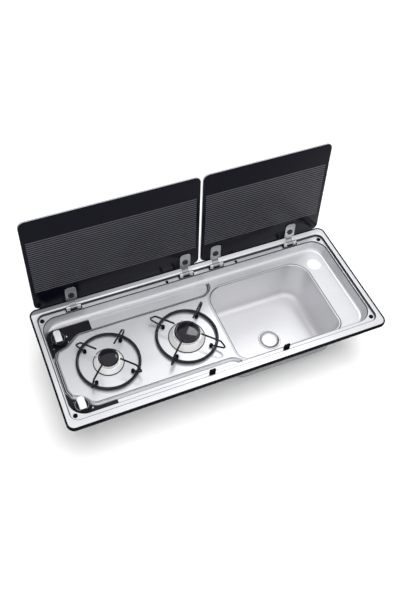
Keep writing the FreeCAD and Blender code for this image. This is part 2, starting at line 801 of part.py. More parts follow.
def gas_tap(control):
    place = ("knob_x", control + "_knob_y")
    body = box(control + "_tap_block", ("tap_width", "tap_width", "tap_height"),
               ("knob_x - tap_width / 2", control + "_knob_y - tap_width / 2", "tap_top_level - tap_height"))
    wing = box(control + "_tap_wing", ("tap_wing_width", "tap_wing_depth", "tap_wing_gauge"),
               ("knob_x - tap_wing_width / 2", control + "_knob_y - tap_wing_depth / 2",
                "tap_top_level - tap_wing_gauge"))
    floor = "tap_top_level - tap_height + tap_floor"
    cavity = cylinder(control + "_tap_cavity", "cavity_radius", "cavity_height", place + (floor,))
    bore = cylinder(control + "_tap_bore", "stem_radius + pin_play", "tap_height - tap_floor", place + (floor,))
    tools = fuse(control + "_tap_tools", [cavity, bore] + tap_screw_bores(control, "tap"))
    name = control + "_gas_tap"
    piece(cut(name, fuse(control + "_tap_body", [body, wing]), tools), name)
    stem = cylinder(control + "_tap_stem", "stem_radius", "stem_top_level - stem_foot_level",
                    place + ("stem_foot_level",))
    piece(stem, control + "_tap_stem")
    plunger = cylinder(control + "_tap_plunger", "plunger_radius", "plunger_height",
                       place + ("stem_foot_level - plunger_height",))
    piece(plunger, control + "_tap_plunger")


def tap_screws():
    screws = []
    for control in CONTROLS:
        for side, sign in SIDES:
            spot = ("knob_x %s tap_screw_spread" % sign, control + "_knob_y")
            tail = "_%s_%s" % (control, side)
            head = cylinder("tap_screw_head" + tail, "tap_screw_head", "tap_screw_head_height",
                            spot + ("trough_level + plate_gauge",))
            shank = cylinder("tap_screw_shank" + tail, "tap_screw_radius", "plate_gauge + gauge + tap_wing_gauge",
                             spot + ("tap_top_level - tap_wing_gauge",))
            screws.append(fuse("tap_screw" + tail, [head, shank]))
    piece(group("tap_screws", screws), "tap_screws")


# Burners

def probe_bore(size, owner):
    return cylinder("%s_probe_bore_%s" % (size, owner), "probe_radius + probe_play", "cut_depth",
                    (size + "_probe_x", size + "_probe_y", "plateau_level - cut_depth / 2"))


def burner(size):
    place = (size + "_x", "burner_y")
    skirt = cone(size + "_cone", size + "_cone_foot", size + "_cone_top", size + "_cone_height",
                 place + ("plateau_level",))
    pot = cylinder(size + "_pot", size + "_chamber", "chamber_height",
                   place + ("plateau_level - chamber_height",))
    hollow = cylinder(size + "_pot_hollow", size + "_chamber - chamber_wall",
                      "chamber_height - chamber_wall + %s_cone_height" % size,
                      place + ("plateau_level - chamber_height + chamber_wall",))
    throat = cylinder(size + "_throat", "throat_radius", "chamber_wall", place + ("plateau_level - chamber_height",))
    tools = fuse(size + "_cup_tools", [hollow, throat, probe_bore(size, "cup")])
    name = size + "_burner_cup"
    piece(cut(name, fuse(size + "_cup_body", [skirt, pot]), tools), name)
    port_ring(size)
    cap_level = "plateau_level + %s_cone_height + %s_head_height" % (size, size)
    lid = cylinder(size + "_cap_disc", size + "_cap", size + "_cap_height", place + (cap_level,))
    doc.recompute()
    top = level_at(lid.Shape.BoundBox.ZMax)
    piece(rounded(size + "_burner_cap", lid, top, "cap_round"), size + "_burner_cap")
    jet = cylinder(size + "_jet", "jet_radius", "jet_length",
                   place + ("plateau_level - chamber_height - jet_length",))
    piece(jet, size + "_burner_jet")


def port_ring(size):
    """The flame ring: a turned ring with slots cut right across it, each slot making two ports."""
    body = doc.addObject("PartDesign::Body", size + "_burner_head")
    planes = {item.Role: item for item in body.Origin.OriginFeatures}
    ring = body.newObject("Sketcher::SketchObject", size + "_ring_sketch")
    ring.AttachmentSupport = (planes["XY_Plane"], [""])
    ring.MapMode = "FlatFace"
    outer, inner = val(size + "_head"), val(size + "_chamber") - val("chamber_wall")
    for number, (radius, text) in enumerate(((outer, size + "_head"), (inner, size + "_chamber - chamber_wall"))):
        ring.addGeometry(Part.Circle(Vector(), Vector(0, 0, 1), radius))
        ring.addConstraint(Sketcher.Constraint("Coincident", number, 3, -1, 1))
        dimension = ring.addConstraint(Sketcher.Constraint("Radius", number, radius))
        ring.setExpression("Constraints[%d]" % dimension, formula(text))
    pad = body.newObject("PartDesign::Pad", size + "_ring_pad")
    pad.Profile = ring
    bind(pad, {"Length": size + "_head_height"})
    slot = body.newObject("Sketcher::SketchObject", size + "_slot_sketch")
    slot.AttachmentSupport = (planes["XZ_Plane"], [""])
    slot.MapMode = "FlatFace"
    half = val("port_width") / 2
    low = (val(size + "_head_height") - val("port_height")) / 2
    high = low + val("port_height")
    slot.addGeometry(path_pieces([(-half, low, 0), (half, low, 0), (half, high, 0), (-half, high, 0)], True))
    doc.recompute()
    pocket = body.newObject("PartDesign::Pocket", size + "_slot")
    pocket.Profile = slot
    pocket.Type = "ThroughAll"
    pocket.Midplane = True
    doc.recompute()
    pattern = body.newObject("PartDesign::PolarPattern", size + "_ports")
    pattern.Originals = [pocket]
    pattern.Axis = (planes["Z_Axis"], [""])
    pattern.Angle = 360
    bind(pattern, {"Occurrences": "port_pairs"})
    body.Tip = pattern
    at(body, (size + "_x", "burner_y", "plateau_level + %s_cone_height" % size))
    piece(body, size + "_burner_head")


def thermocouples():
    nuts = []
    for size in BURNERS:
        place = (size + "_probe_x", size + "_probe_y")
        rod = cylinder(size + "_probe", "probe_radius", size + "_probe_level - lead_level + probe_radius",
                       place + ("lead_level - probe_radius",))
        piece(rod, size + "_thermocouple")
        seat = place + ("plateau_level - gauge - probe_nut_height",)
        nut = cylinder(size + "_probe_nut_blank", "probe_nut", "probe_nut_height", seat)
        bore = cylinder(size + "_nut_bore", "probe_radius + pin_play", "probe_nut_height", seat)
        nuts.append(cut(size + "_probe_nut", nut, bore))
    piece(group("thermocouple_nuts", nuts), "thermocouple_nuts")


# Gas pipes and thermocouple leads, each a level bar with one bend

def level_bar(name, corners, level, radius):
    path = sketch(name + "_path", corners, closed=False)
    path.Placement.Base.z = val(level)
    start = Vector(corners[0][0], corners[0][1], val(level))
    piece(swept(name, path, radius, start, TURN["X"]), name)


def pipes():
    side = val("knob_x") + val("tap_width") / 2
    shift = val("lead_shift")
    for size, control, sign in (("small", "front", -1), ("large", "rear", 1)):
        x, y = val(size + "_x"), val(control + "_knob_y")
        finish = val("burner_y") + sign * val("jet_radius")
        level_bar(size + "_feed_pipe", [(side, y, 0), (x, y, val("feed_bend")), (x, finish, 0)],
                  "pipe_level", "feed_radius")
        x = val(size + "_probe_x")
        finish = val(size + "_probe_y") + sign * val("probe_radius")
        level_bar(size + "_thermocouple_lead",
                  [(side, y + shift, 0), (x, y + shift, val("lead_bend")), (x, finish, 0)],
                  "lead_level", "lead_radius")
    near, far = "front_knob_y + tap_width / 2", "rear_knob_y - tap_width / 2"
    piece(cylinder("manifold", "manifold_radius", "%s - (%s)" % (far, near), ("knob_x", near, "pipe_level"), "Y"),
          "gas_manifold")
    back = "rear_knob_y + tap_width / 2"
    nut = doc.addObject("Part::Prism", "inlet_nut")
    nut.Polygon = 6
    nut.Placement.Rotation = TURN["Y"]
    bind(nut, {"Circumradius": "inlet_nut", "Height": "inlet_nut_length"})
    at(nut, ("knob_x", back, "pipe_level"))
    piece(nut, "gas_inlet_nut")
    piece(cylinder("inlet", "inlet_radius", "inlet_length", ("knob_x", back + " + inlet_nut_length", "pipe_level"),
                   "Y"), "gas_inlet_pipe")


# Pan supports

def pan_support(size):
    x, y = val(size + "_x"), val("burner_y")
    ring = doc.addObject("Part::Torus", size + "_ring")
    bind(ring, {"Radius1": "ring_radius", "Radius2": "ring_wire"})
    at(ring, (size + "_x", "burner_y", "ring_level"))
    bend = val("arm_bend")
    inner, outer, reach = (val("%s_arm_%s" % (size, end)) for end in ("inner", "outer", "reach"))
    corners = [(inner, val("arm_level"), 0), (outer, val("arm_level"), bend),
               (reach, val("arm_low_level"), bend), (val("foot_reach"), val("foot_wire_level"), 0)]
    arms = []
    studs = []
    for number, azimuth in enumerate(ARM_ANGLES, start=1):
        swing = Rotation(Vector(0, 0, 1), azimuth)
        path = sketch("%s_arm_path_%d" % (size, number), corners, closed=False)
        path.Placement = Placement(Vector(x, y, 0), swing * Rotation(Vector(1, 0, 0), 90))
        start = Vector(x, y, 0) + swing.multVec(Vector(inner, 0, val("arm_level")))
        arms.append(swept("%s_arm_%d" % (size, number), path, "arm_wire", start, swing * TURN["X"]))
        across, along = math.cos(math.radians(azimuth)), math.sin(math.radians(azimuth))
        studs.append(cylinder("%s_foot_stud_%d" % (size, number), "foot_radius", "foot_height",
                              ("%s_x + foot_reach * %f" % (size, across), "burner_y + foot_reach * %f" % along,
                               "plateau_level")))
    piece(ring, size + "_support_ring")
    welded = [cut("%s_arm_weld_%d" % (size, number), arm, ring) for number, arm in enumerate(arms, start=1)]
    piece(group(size + "_support_arms", welded), size + "_support_arms")
    feet = [cut("%s_foot_%d" % (size, number), stud, arm) for number, (stud, arm) in
            enumerate(zip(studs, arms), start=1)]
    piece(group(size + "_support_feet", feet), size + "_support_feet")


# Lids: built closed with the hinge axis as the origin, then turned open about it

def open_lid(item, label):
    item.Placement.Rotation = Rotation(Vector(1, 0, 0), -val("lid_open_angle"))
    at(item, ("0", "hinge_y", "hinge_level"))
    piece(item, label)


def hinge_leaf(name):
    x = name + "_hinge_x"
    plate = box(name + "_leaf_plate", ("leaf_width", "leaf_length", "leaf_gauge"),
                (x + " - leaf_width / 2", "-lid_setback - leaf_length", "lid_lift - leaf_gauge"))

    def far_end(edge):
        return upright(edge) and edge.BoundBox.YMax < -val("lid_setback") - val("leaf_length") / 2

    plate = rounded(name + "_leaf_end", plate, far_end, "leaf_corner")
    lift, gauge, setback = val("lid_lift"), val("leaf_gauge"), val("lid_setback")
    radius = val("barrel_radius") * NECK_ROOT
    end = -setback - val("neck_overlap")
    root = Rotation(NECK_ANGLE, 0, 0).multVec(Vector(-radius, 0, 0))
    web = [(0, radius, 0), (-val("neck_top_reach"), lift, 0), (end, lift, 0),
           (end, lift - gauge, 0), (-val("neck_low_reach"), lift - gauge, 0), (root.x, -root.y, 0)]
    profile = sketch(name + "_neck_profile", web)
    profile.Placement.Rotation = Rotation(Vector(1, 1, 1), 120)
    bind(profile, {"Placement.Base.x": x})
    width = "2 * ear_inset - 2 * barrel_gap"
    neck = prism(name + "_neck", profile, width, Vector(1, 0, 0), both_ways=True)
    barrel = cylinder(name + "_barrel", "barrel_radius", width, (x + " - ear_inset + barrel_gap", "0", "0"), "X")
    bore = cylinder(name + "_barrel_bore", "pin_radius + pin_play", "2 * ear_inset", (x + " - ear_inset", "0", "0"),
                    "X")
    hole = clamp_bore(name, "leaf")
    leaf = cut(name + "_hinge_leaf", fuse(name + "_leaf_body", [plate, neck, barrel]),
               group(name + "_leaf_bores", [bore, hole]))
    open_lid(leaf, name + "_hinge_leaf")


def clamp_bore(name, owner):
    return cylinder("%s_clamp_bore_%s" % (name, owner), "shank_radius + screw_play", "leaf_gauge + glass_gauge",
                    (name + "_hinge_x", "-clamp_setback", "lid_lift - leaf_gauge"))


def lid(side):
    names = HINGES[side]
    pane = block(side + "_pane", (side + "_lid_width", "lid_depth", "glass_gauge"),
                 (side + "_lid_x", "-lid_setback - lid_depth", "lid_lift"), "lid_corner")
    bores = group(side + "_glass_bores", [clamp_bore(name, "glass") for name in names])
    open_lid(cut(side + "_glass", pane, bores), side + "_lid_glass")
    screws = []
    caps = []
    bases = []
    ears = []
    for name in names:
        place = (name + "_hinge_x", "-clamp_setback")
        head = cylinder(name + "_clamp_head", "clamp_radius", "clamp_height",
                        place + ("lid_lift - leaf_gauge - clamp_height",))
        shank = cylinder(name + "_clamp_shank", "shank_radius", "leaf_gauge + glass_gauge",
                         place + ("lid_lift - leaf_gauge",))
        screws.append(fuse(name + "_clamp_screw", [head, shank]))
        caps.append(cylinder(name + "_clamp_cap", "clamp_radius", "clamp_cap_height",
                             place + ("lid_lift + glass_gauge",)))
        hinge_leaf(name)
        bases.append(hinge_base(name))
        ears.append(hinge_ears(name))
    piece(group(side + "_hinge_bases", bases), side + "_hinge_bases")
    piece(group(side + "_hinge_ears", ears), side + "_hinge_ears")
    open_lid(group(side + "_clamp_screws", screws), side + "_clamp_screws")
    open_lid(group(side + "_clamp_caps", caps), side + "_clamp_caps")
    pins = [cylinder(name + "_hinge_pin", "pin_radius", "2 * ear_inset + 2 * ear_width",
                     (name + "_hinge_x - ear_inset - ear_width", "hinge_y", "hinge_level"), "X") for name in names]
    piece(group(side + "_hinge_pins", pins), side + "_hinge_pins")


def hinge_base(name):
    """The block on the ledge that carries one hinge."""
    foot = block(name + "_base", ("base_width", "base_rear_y - base_front_y", "base_height"),
                 (name + "_hinge_x - base_width / 2", "base_front_y", "ledge_level"), "base_round")
    bores = base_screws(name, "base_bore", "base_screw_radius + pin_play")
    return cut(name + "_hinge_base", foot, group(name + "_base_bores", bores))


def hinge_ears(name):
    """The two ears on one base that hold the pin at its ends."""
    x = name + "_hinge_x"
    ears = []
    for side, edge in (("left", "- ear_inset - ear_width"), ("right", "+ ear_inset")):
        start = x + " " + edge
        post = box("%s_%s_post" % (name, side), ("ear_width", "ear_depth", "hinge_level - deck_level"),
                   (start, "hinge_y - ear_depth / 2 - ear_shift", "deck_level"))
        tread = box("%s_%s_tread" % (name, side), ("ear_width", "hinge_y - base_front_y - tread_inset", "tread_gauge"),
                    (start, "base_front_y + tread_inset", "deck_level"))
        knuckle = cylinder("%s_%s_knuckle" % (name, side), "barrel_radius", "ear_width",
                           (start, "hinge_y", "hinge_level"), "X")
        ears.append(fuse("%s_%s_ear" % (name, side), [post, tread, knuckle]))
    bores = base_screws(name, "ear_bore", "base_screw_radius + pin_play")
    bores.append(cylinder(name + "_pin_bore", "pin_radius + ear_play", "base_width",
                          (x + " - base_width / 2", "hinge_y", "hinge_level"), "X"))
    return cut(name + "_hinge_ears", group(name + "_ear_pair", ears), group(name + "_ear_bores", bores))


def base_screws(name, kind, radius):
    """Two small screws through the tread of each ear."""
    height = "base_screw_depth + tread_gauge + base_screw_proud"
    screws = []
    for side, sign in SIDES:
        for place, shift in SIDES:
            x = "%s_hinge_x %s (ear_inset + ear_width / 2) %s base_screw_pitch / 2" % (name, sign, shift)
            screws.append(cylinder("%s_%s_%s_%s" % (name, kind, side, place), radius, height,
                                   (x, "base_front_y + base_screw_setback", "deck_level - base_screw_depth")))
    return screws


def hinge_screws():
    names = [name for side in HINGES for name in HINGES[side]]
    screws = [screw for name in names for screw in base_screws(name, "base_screw", "base_screw_radius")]
    piece(group("hinge_base_screws", screws), "hinge_base_screws")


def check_document():
    failed = [item.Name for item in doc.Objects if "Invalid" in item.State or "Error" in item.State]
    for item in parts:
        if item.Shape.isNull() or not item.Shape.isValid() or not item.Shape.Solids:
            failed.append(item.Label)
    if failed:
        raise RuntimeError("these objects failed: " + ", ".join(failed))


def export():
    os.makedirs("parts", exist_ok=True)
    for item in parts:
        item.Shape.exportStep(os.path.join("parts", item.Label + ".step"))
        print("%-30s solids %2d volume %10.1f" % (item.Label, len(item.Shape.Solids), item.Shape.Volume))


fill_sheet()
plateau_line = plateau_outline()
trough_line = trough_outline()
top_plate(plateau_line, trough_line)
sink_bowl()
rim_seal()
plugs()
buffers()
wall_rivets()
control_plates(plateau_line, trough_line)
for control_name in CONTROLS:
    knob(control_name)
    gas_tap(control_name)
tap_screws()
for burner_size in BURNERS:
    burner(burner_size)
    pan_support(burner_size)
thermocouples()
pipes()
for lid_side in HINGES:
    lid(lid_side)
hinge_screws()
doc.recompute()
check_document()
export()
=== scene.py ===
import json
import math

import bmesh
import bpy
from bpy.props import FloatProperty, FloatVectorProperty, IntProperty, PointerProperty
from bpy.types import NodeSocket, Operator, Panel, PropertyGroup
from mathutils import Matrix, Vector


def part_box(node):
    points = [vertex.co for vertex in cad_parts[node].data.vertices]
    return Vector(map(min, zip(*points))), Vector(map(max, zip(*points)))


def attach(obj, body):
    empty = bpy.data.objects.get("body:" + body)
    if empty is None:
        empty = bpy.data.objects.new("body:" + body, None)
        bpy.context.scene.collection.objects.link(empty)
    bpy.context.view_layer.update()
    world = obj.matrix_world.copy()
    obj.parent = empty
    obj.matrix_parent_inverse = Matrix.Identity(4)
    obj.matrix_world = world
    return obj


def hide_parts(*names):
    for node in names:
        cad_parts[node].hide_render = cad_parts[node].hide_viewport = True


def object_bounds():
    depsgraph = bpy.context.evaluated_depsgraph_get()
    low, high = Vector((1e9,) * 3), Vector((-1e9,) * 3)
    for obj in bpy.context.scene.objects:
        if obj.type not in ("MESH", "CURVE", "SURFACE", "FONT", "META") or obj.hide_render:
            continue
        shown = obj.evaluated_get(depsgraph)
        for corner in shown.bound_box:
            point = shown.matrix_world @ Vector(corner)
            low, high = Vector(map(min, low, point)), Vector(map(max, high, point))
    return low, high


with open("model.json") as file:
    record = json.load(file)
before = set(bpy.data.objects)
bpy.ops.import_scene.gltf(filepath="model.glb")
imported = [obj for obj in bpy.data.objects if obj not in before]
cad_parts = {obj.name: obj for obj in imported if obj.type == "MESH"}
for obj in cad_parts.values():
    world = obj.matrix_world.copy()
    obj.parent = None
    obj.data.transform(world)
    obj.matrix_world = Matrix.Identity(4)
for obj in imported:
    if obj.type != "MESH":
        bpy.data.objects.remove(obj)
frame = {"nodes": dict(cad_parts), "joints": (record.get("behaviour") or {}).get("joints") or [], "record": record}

bl_info = {
    "name": "Hob and sink unit",
    "version": (1, 0, 0),
    "blender": (4, 5, 0),
    "location": "3D View > Sidebar > Hob and sink",
    "description": "Dresses a built-in hob and sink unit: its lids, burners, knobs, fixings and finishes",
    "category": "Object",
}

CAD_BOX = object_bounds()
NODES = frame["nodes"]
HINGE = next(joint for joint in frame["joints"] if joint["name"] == "left_lid_hinge")
# A closed lid's own space has the hinge axis as its origin; this turns it open, as the unit stands at rest
OPEN_LID = Matrix.Translation(HINGE["pos_m"]) @ Matrix.Rotation(-math.radians(HINGE["range_deg"][1]), 4, "X")
LIDS = ("left", "right")
KNOBS = ("rear", "front")
BURNERS = ("small", "large")
# Points nearer than this, in metres, are one point
SAME = 1e-6
# Edges that turn by more than this, in degrees, stay sharp; a piece with rounded bends takes a wider angle
SHARP = 35.0
ROUNDED = 60.0


def length(label, text, default):
    return FloatProperty(name=label, description=text, default=default, min=0.0, unit="LENGTH", precision=5)


def position(label, text, default):
    return FloatProperty(name=label, description=text, default=default, unit="LENGTH", precision=5)


def share(label, text, default, high=1.0):
    return FloatProperty(name=label, description=text, default=default, min=0.0, max=high)


def colour(label, text, default):
    return FloatVectorProperty(name=label, description=text, default=default, subtype="COLOR",
                               min=0.0, max=1.0)


def angle(label, text, degrees):
    return FloatProperty(name=label, description=text, default=math.radians(degrees), unit="ROTATION")


class LidSettings(PropertyGroup):
    """Sizes and colours of the two glass lids."""
    corner: length("Corner radius", "Radius of a pane's corners", 0.015)
    bevel: length("Edge bevel", "Ground bevel along a pane's edges", 0.0009)
    skin: length("Print depth", "How far the pane lies back from its print", 0.0002)
    pitch: length("Stripe pitch", "From one printed stripe to the next", 0.0067)
    stripe: length("Stripe width", "Width of one printed stripe", 0.0037)
    front_band: length("Front band", "Plain band along the edge that is lifted", 0.0625)
    rear_band: length("Rear band", "Plain band along the hinges", 0.057)
    side_band: length("Side band", "Plain band at either end", 0.010)
    clamp: length("Clamp disc", "Radius of the discs that hold the glass", 0.0085)
    clamp_height: length("Clamp height", "Thickness of those discs", 0.0024)
    glass: colour("Glass", "Dark tinted glass", (0.003, 0.003, 0.008))
    print: colour("Print", "Stripes printed on the glass", (0.080, 0.081, 0.094))
    edge: colour("Edge", "Ground edge of the glass", (0.36, 0.38, 0.39))


class MetalSettings(PropertyGroup):
    """Colours and shine of the metals."""
    sheet: colour("Sheet", "Satin stainless top", (0.722, 0.729, 0.760))
    bowl: colour("Bowl", "Satin stainless bowl", (0.785, 0.786, 0.808))
    bright: colour("Bright steel", "Hinges, screws and pins", (0.72, 0.725, 0.735))
    # The dish's steel is darkened as painted shade in the hollow round the waste hole
    dish: colour("Dish", "Steel of the dish round the waste hole", (0.42, 0.425, 0.44))
    # Painted shade and dark reflection along the sheet's rounded bends, not a colour that the metal has
    bend: colour("Bends", "Worked metal along the sheet's rounded bends", (0.045, 0.046, 0.052))
    shaded: colour("Rear rim", "Rim behind the hinges, in the shade of the lids", (0.20, 0.203, 0.215))
    # The hinge leaf colour is darkened as a painted reflection of the dark glass
    leaf: colour("Hinge leaf", "Hinge leaves, which mirror the dark glass", (0.46, 0.465, 0.485))
    # This colour is painted shade on the bowl's outside, under the rim
    outside: colour("Bowl outside", "Dull outside of the bowl", (0.36, 0.365, 0.38))
    turned: colour("Turned alloy", "Burner cups and heads", (0.95, 0.95, 0.955))
    drawn: colour("Drawn tube", "Gas pipes", (0.66, 0.665, 0.67))
    brass: colour("Brass", "Gas taps, jets and nuts", (0.66, 0.49, 0.22))
    mirror: share("Mirror", "How much of the satin steel's light is mirrored; the rest is scattered", 0.70)
    sheet_roughness: share("Sheet roughness", "How satin the pressed top is", 0.36)
    bowl_roughness: share("Bowl roughness", "How satin the bowl is", 0.42)


class DarkSettings(PropertyGroup):
    """Colours of the black and silver parts."""
    enamel: colour("Enamel", "Gloss black wire and burner lids", (0.007, 0.007, 0.012))
    plastic: colour("Plastic", "Matt black control plates and knob skirts", (0.007, 0.007, 0.010))
    rubber: colour("Rubber", "Seal, feet, plugs and buffers", (0.005, 0.005, 0.006))
    grip: colour("Grip", "Silver knob bars", (0.78, 0.785, 0.79))
    mark: colour("Marks", "Pale marks on the control plates", (0.62, 0.63, 0.65))


class FixingSettings(PropertyGroup):
    """Sizes of the small fixings."""
    hinge_screw: length("Hinge screw", "Radius of a hinge screw's head", 0.0015)
    tap_screw: length("Tap screw", "Radius of a gas tap screw's head", 0.0032)
    rivet: length("Rivet", "Radius of a rivet's head in the rear wall", 0.0026)
    mark: length("Mark", "Height of a flame mark", 0.0048)
    knob_ring: length("Knob ring", "Radius of the bright ring on a knob", 0.0178)
    grip_bevel: length("Grip bevel", "Rounding along a knob bar's edges", 0.0022)
    # A thin black ring round the foot of each burner's skirt: how far it shows, and its thickness
    gasket: length("Gasket", "How far a burner's gasket shows round its skirt", 0.0015)
    gasket_height: length("Gasket height", "Thickness of that gasket", 0.0012)
    seal_bead: length("Seal bead", "How far the rim seal laps over the rim", 0.0044)
    seal_bead_height: length("Seal bead height", "Thickness of that lap", 0.0006)
    seal_corner: length("Seal corner", "Radius of the rim seal's corners", 0.021)
    segments: IntProperty(name="Segments", description="Steps round a turned piece", default=64, min=12)


class BowlSettings(PropertyGroup):
    """Places of the bowl's mouth and of its waste hole."""
    left: position("Mouth left", "Left side of the bowl's mouth", 0.037)
    right: position("Mouth right", "Right side of the mouth", 0.347)
    front: position("Mouth front", "Front of the mouth", -0.135)
    rear: position("Mouth rear", "Rear of the mouth", 0.108)
    corner: length("Mouth corner", "Radius of the mouth's rear corners", 0.050)
    front_corner: length("Mouth front corner", "Radius of its front corners", 0.028)
    plateau: position("Plateau", "Height of the flat plateau", -0.026)
    floor: position("Floor", "Height of the bowl's floor", -0.153)
    waste_x: position("Waste X", "Waste hole's place across", 0.193)
    waste_y: position("Waste Y", "Waste hole's place in depth", -0.037)


class StageSettings(PropertyGroup):
    """Camera and lights."""
    azimuth: angle("Azimuth", "Where the camera stands round the unit", -24.866)
    elevation: angle("Elevation", "How high the camera stands", 53.447)
    roll: angle("Roll", "Lean of the camera", 3.847)
    distance: length("Distance", "From the camera to the unit", 1.85682)
    across: position("Across", "Camera's shift to its right", -0.118989)
    above: position("Above", "Camera's shift upwards", 0.079588)
    rim: length("Rim height", "Height of the rim above the worktop", 0.009)
    lens: FloatProperty(name="Lens", description="Focal length in millimetres", default=41.30, unit="CAMERA")
    shift_x: FloatProperty(name="Shift X", description="Camera shift to the right", default=0.0591)
    shift_y: FloatProperty(name="Shift Y", description="Camera shift upwards", default=-0.0208)
    floor: colour("Floor", "Pale floor", (0.95, 0.95, 0.95))
    glow: share("Floor glow", "How much of the floor's white doesn't depend on the lamps", 0.08)
    sky: share("Sky", "Level of the light from all round", 0.92, 2.0)
    matt_sky_dimming: share("Matt dimming", "How much weaker the sky is on matt surfaces than in gloss", 0.5)
    sun: share("Sun", "Level of the soft lamp that lights the matt parts", 2.8, 10.0)
    horizon: share("Horizon", "Level of the sky near the ground, as a share of that overhead", 0.12)
    front_sky: share("Front sky", "Level of the sky low in front and on the left, as such a share", 1.0)
    glint: share("Glint", "Level of the long lamp that shows in the gloss parts", 4.5, 50.0)
    spark: share("Spark", "Level of the round lamp that shows in them as a dot", 1.2, 50.0)


SETTINGS = {
    "hob_sink_lids": LidSettings,
    "hob_sink_metals": MetalSettings,
    "hob_sink_darks": DarkSettings,
    "hob_sink_fixings": FixingSettings,
    "hob_sink_bowl": BowlSettings,
    "hob_sink_stage": StageSettings,
}


# Pieces and meshes

FINISHES = {}


def add_piece(name, mesh, body, slot, *nodes):
    """Put a finished mesh in the scene, on its body and in place of the nodes that it stands for."""
    piece = bpy.data.objects.new(name, mesh)
    bpy.context.scene.collection.objects.link(piece)
    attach(piece, body)
    if nodes:
        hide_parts(*nodes)


def smoothed(mesh, sharp=SHARP):
    mesh.shade_smooth()
    mesh.set_sharp_from_angle(angle=math.radians(sharp))
    return mesh


def mesh_from(bm, name, *keys, sharp=SHARP):
    """Turn a bmesh into a mesh with the finishes of those keys."""
    mesh = bpy.data.meshes.new(name)
    bm.to_mesh(mesh)
    bm.free()
    for key in keys:
        mesh.materials.append(FINISHES[key])
    return smoothed(mesh, sharp)


def add_solid(bm, name, keys, body, slot, *nodes, sharp=SHARP):
    """Turn a bmesh into a piece with the finishes of those keys."""
    add_piece(name, mesh_from(bm, name, *keys, sharp=sharp), body, slot, *nodes)


def corners_of(spots):
    """The lowest and highest corners of some points."""
    axes = list(zip(*spots))
    return Vector([min(axis) for axis in axes]), Vector([max(axis) for axis in axes])


def corners_in(name, space):
    """A node's lowest and highest corners in another space, such as a closed lid's."""
    back = space.inverted()
    return corners_of([back @ vertex.co for vertex in NODES[name].data.vertices])


def islands(name, space=Matrix.Identity(4)):
    """The lowest and highest corners of each separate solid in a node."""
    bm = bmesh.new()
    bm.from_mesh(NODES[name].data)
    bm.transform(space.inverted())
    bmesh.ops.remove_doubles(bm, verts=bm.verts, dist=SAME)
    left = set(bm.verts)
    boxes = []
    while left:
        queue = [left.pop()]
        spots = []
        while queue:
            vertex = queue.pop()
            spots.append(vertex.co.copy())
            near = {edge.other_vert(vertex) for edge in vertex.link_edges} & left
            left -= near
            queue += near
        boxes.append(corners_of(spots))
    bm.free()
    return sorted(boxes, key=lambda box: tuple(round(value, 5) for value in box[0]))


def middle(box):
    return (box[0] + box[1]) / 2


def middle_at(box, height):
    """The point at a height on the upright line through a box's middle."""
    return Vector((*middle(box).xy, height))


def scaled(shares, radius, height):
    """A profile given as shares of a radius and of a height."""
    return [(radius * out, height * up) for out, up in shares]


def circle(steps):
    """Points round a circle of radius 1, anticlockwise."""
    turns = [2 * math.pi * step / steps for step in range(steps)]
    return [(math.cos(turn), math.sin(turn)) for turn in turns]


def rounded_outline(low, high, corner, steps=8, front=None):
    """A rectangle with round corners; its two front ones may have a radius of their own."""
    front = corner if front is None else front
    centres = ((high.x - corner, high.y - corner, corner, 0), (low.x + corner, high.y - corner, corner, 90),
               (low.x + front, low.y + front, front, 180), (high.x - front, low.y + front, front, 270))
    points = []
    for x, y, radius, start in centres:
        for step in range(steps + 1):
            turn = math.radians(start + 90 * step / steps)
            points.append((x + radius * math.cos(turn), y + radius * math.sin(turn)))
    return points


def bridge(bm, ring, next_ring):
    """Join two rings of as many points by a band of faces."""
    for step in range(len(ring)):
        after = (step + 1) % len(ring)
        bm.faces.new((ring[step], ring[after], next_ring[after], next_ring[step]))


def add_prism(bm, points, low, high):
    foot, head = [[bm.verts.new((x, y, level)) for x, y in points] for level in (low, high)]
    bm.faces.new(list(reversed(foot)))
    bm.faces.new(head)
    bridge(bm, foot, head)


def turned_rings(bm, profile, centre, steps):
    """A ring of points for each radius and height of a profile, or one point where it meets the axis."""
    return [[bm.verts.new(centre + Vector((radius * x, radius * y, height)))
             for x, y in circle(steps if radius else 1)] for radius, height in profile]


def add_turned(bm, profile, centre, steps):
    """A turned solid: profile runs from the axis at the foot, outwards and up, to the axis at the top."""
    foot, *bands, head = turned_rings(bm, profile, centre, steps)
    for step in range(steps):
        bm.faces.new((foot[0], bands[0][(step + 1) % steps], bands[0][step]))
    for lower, upper in zip(bands, bands[1:]):
        bridge(bm, lower, upper)
    for step in range(steps):
        bm.faces.new((bands[-1][step], bands[-1][(step + 1) % steps], head[0]))


def add_hoop(bm, rings):
    """A closed tube of like rings of points, the last of which joins the first."""
    for ring, next_ring in zip(rings, rings[1:] + rings[:1]):
        bridge(bm, ring, next_ring)
    bmesh.ops.recalc_face_normals(bm, faces=bm.faces)


def add_border(bm, low, high, level, section, corner, front):
    """A bead round a rectangle: section says how far outside it and how far above a level each line lies."""
    corner_steps = 12
    rings = []
    for out, up in section:
        reach = Vector((out, out, 0))
        outline = rounded_outline(low - reach, high + reach, corner + out, corner_steps, front + out)
        rings.append([bm.verts.new((x, y, level + up)) for x, y in outline])
    add_hoop(bm, rings)


# Node trees for what repeats

def add_node(tree, kind, inputs=None, **settings):
    """Add a node with its settings, and give each input that is named or numbered a value or a link."""
    node = tree.nodes.new(kind)
    for key, value in settings.items():
        setattr(node, key, value)
    for key, value in (inputs or {}).items():
        if isinstance(value, NodeSocket):
            tree.links.new(value, node.inputs[key])
        else:
            node.inputs[key].default_value = value
    return node


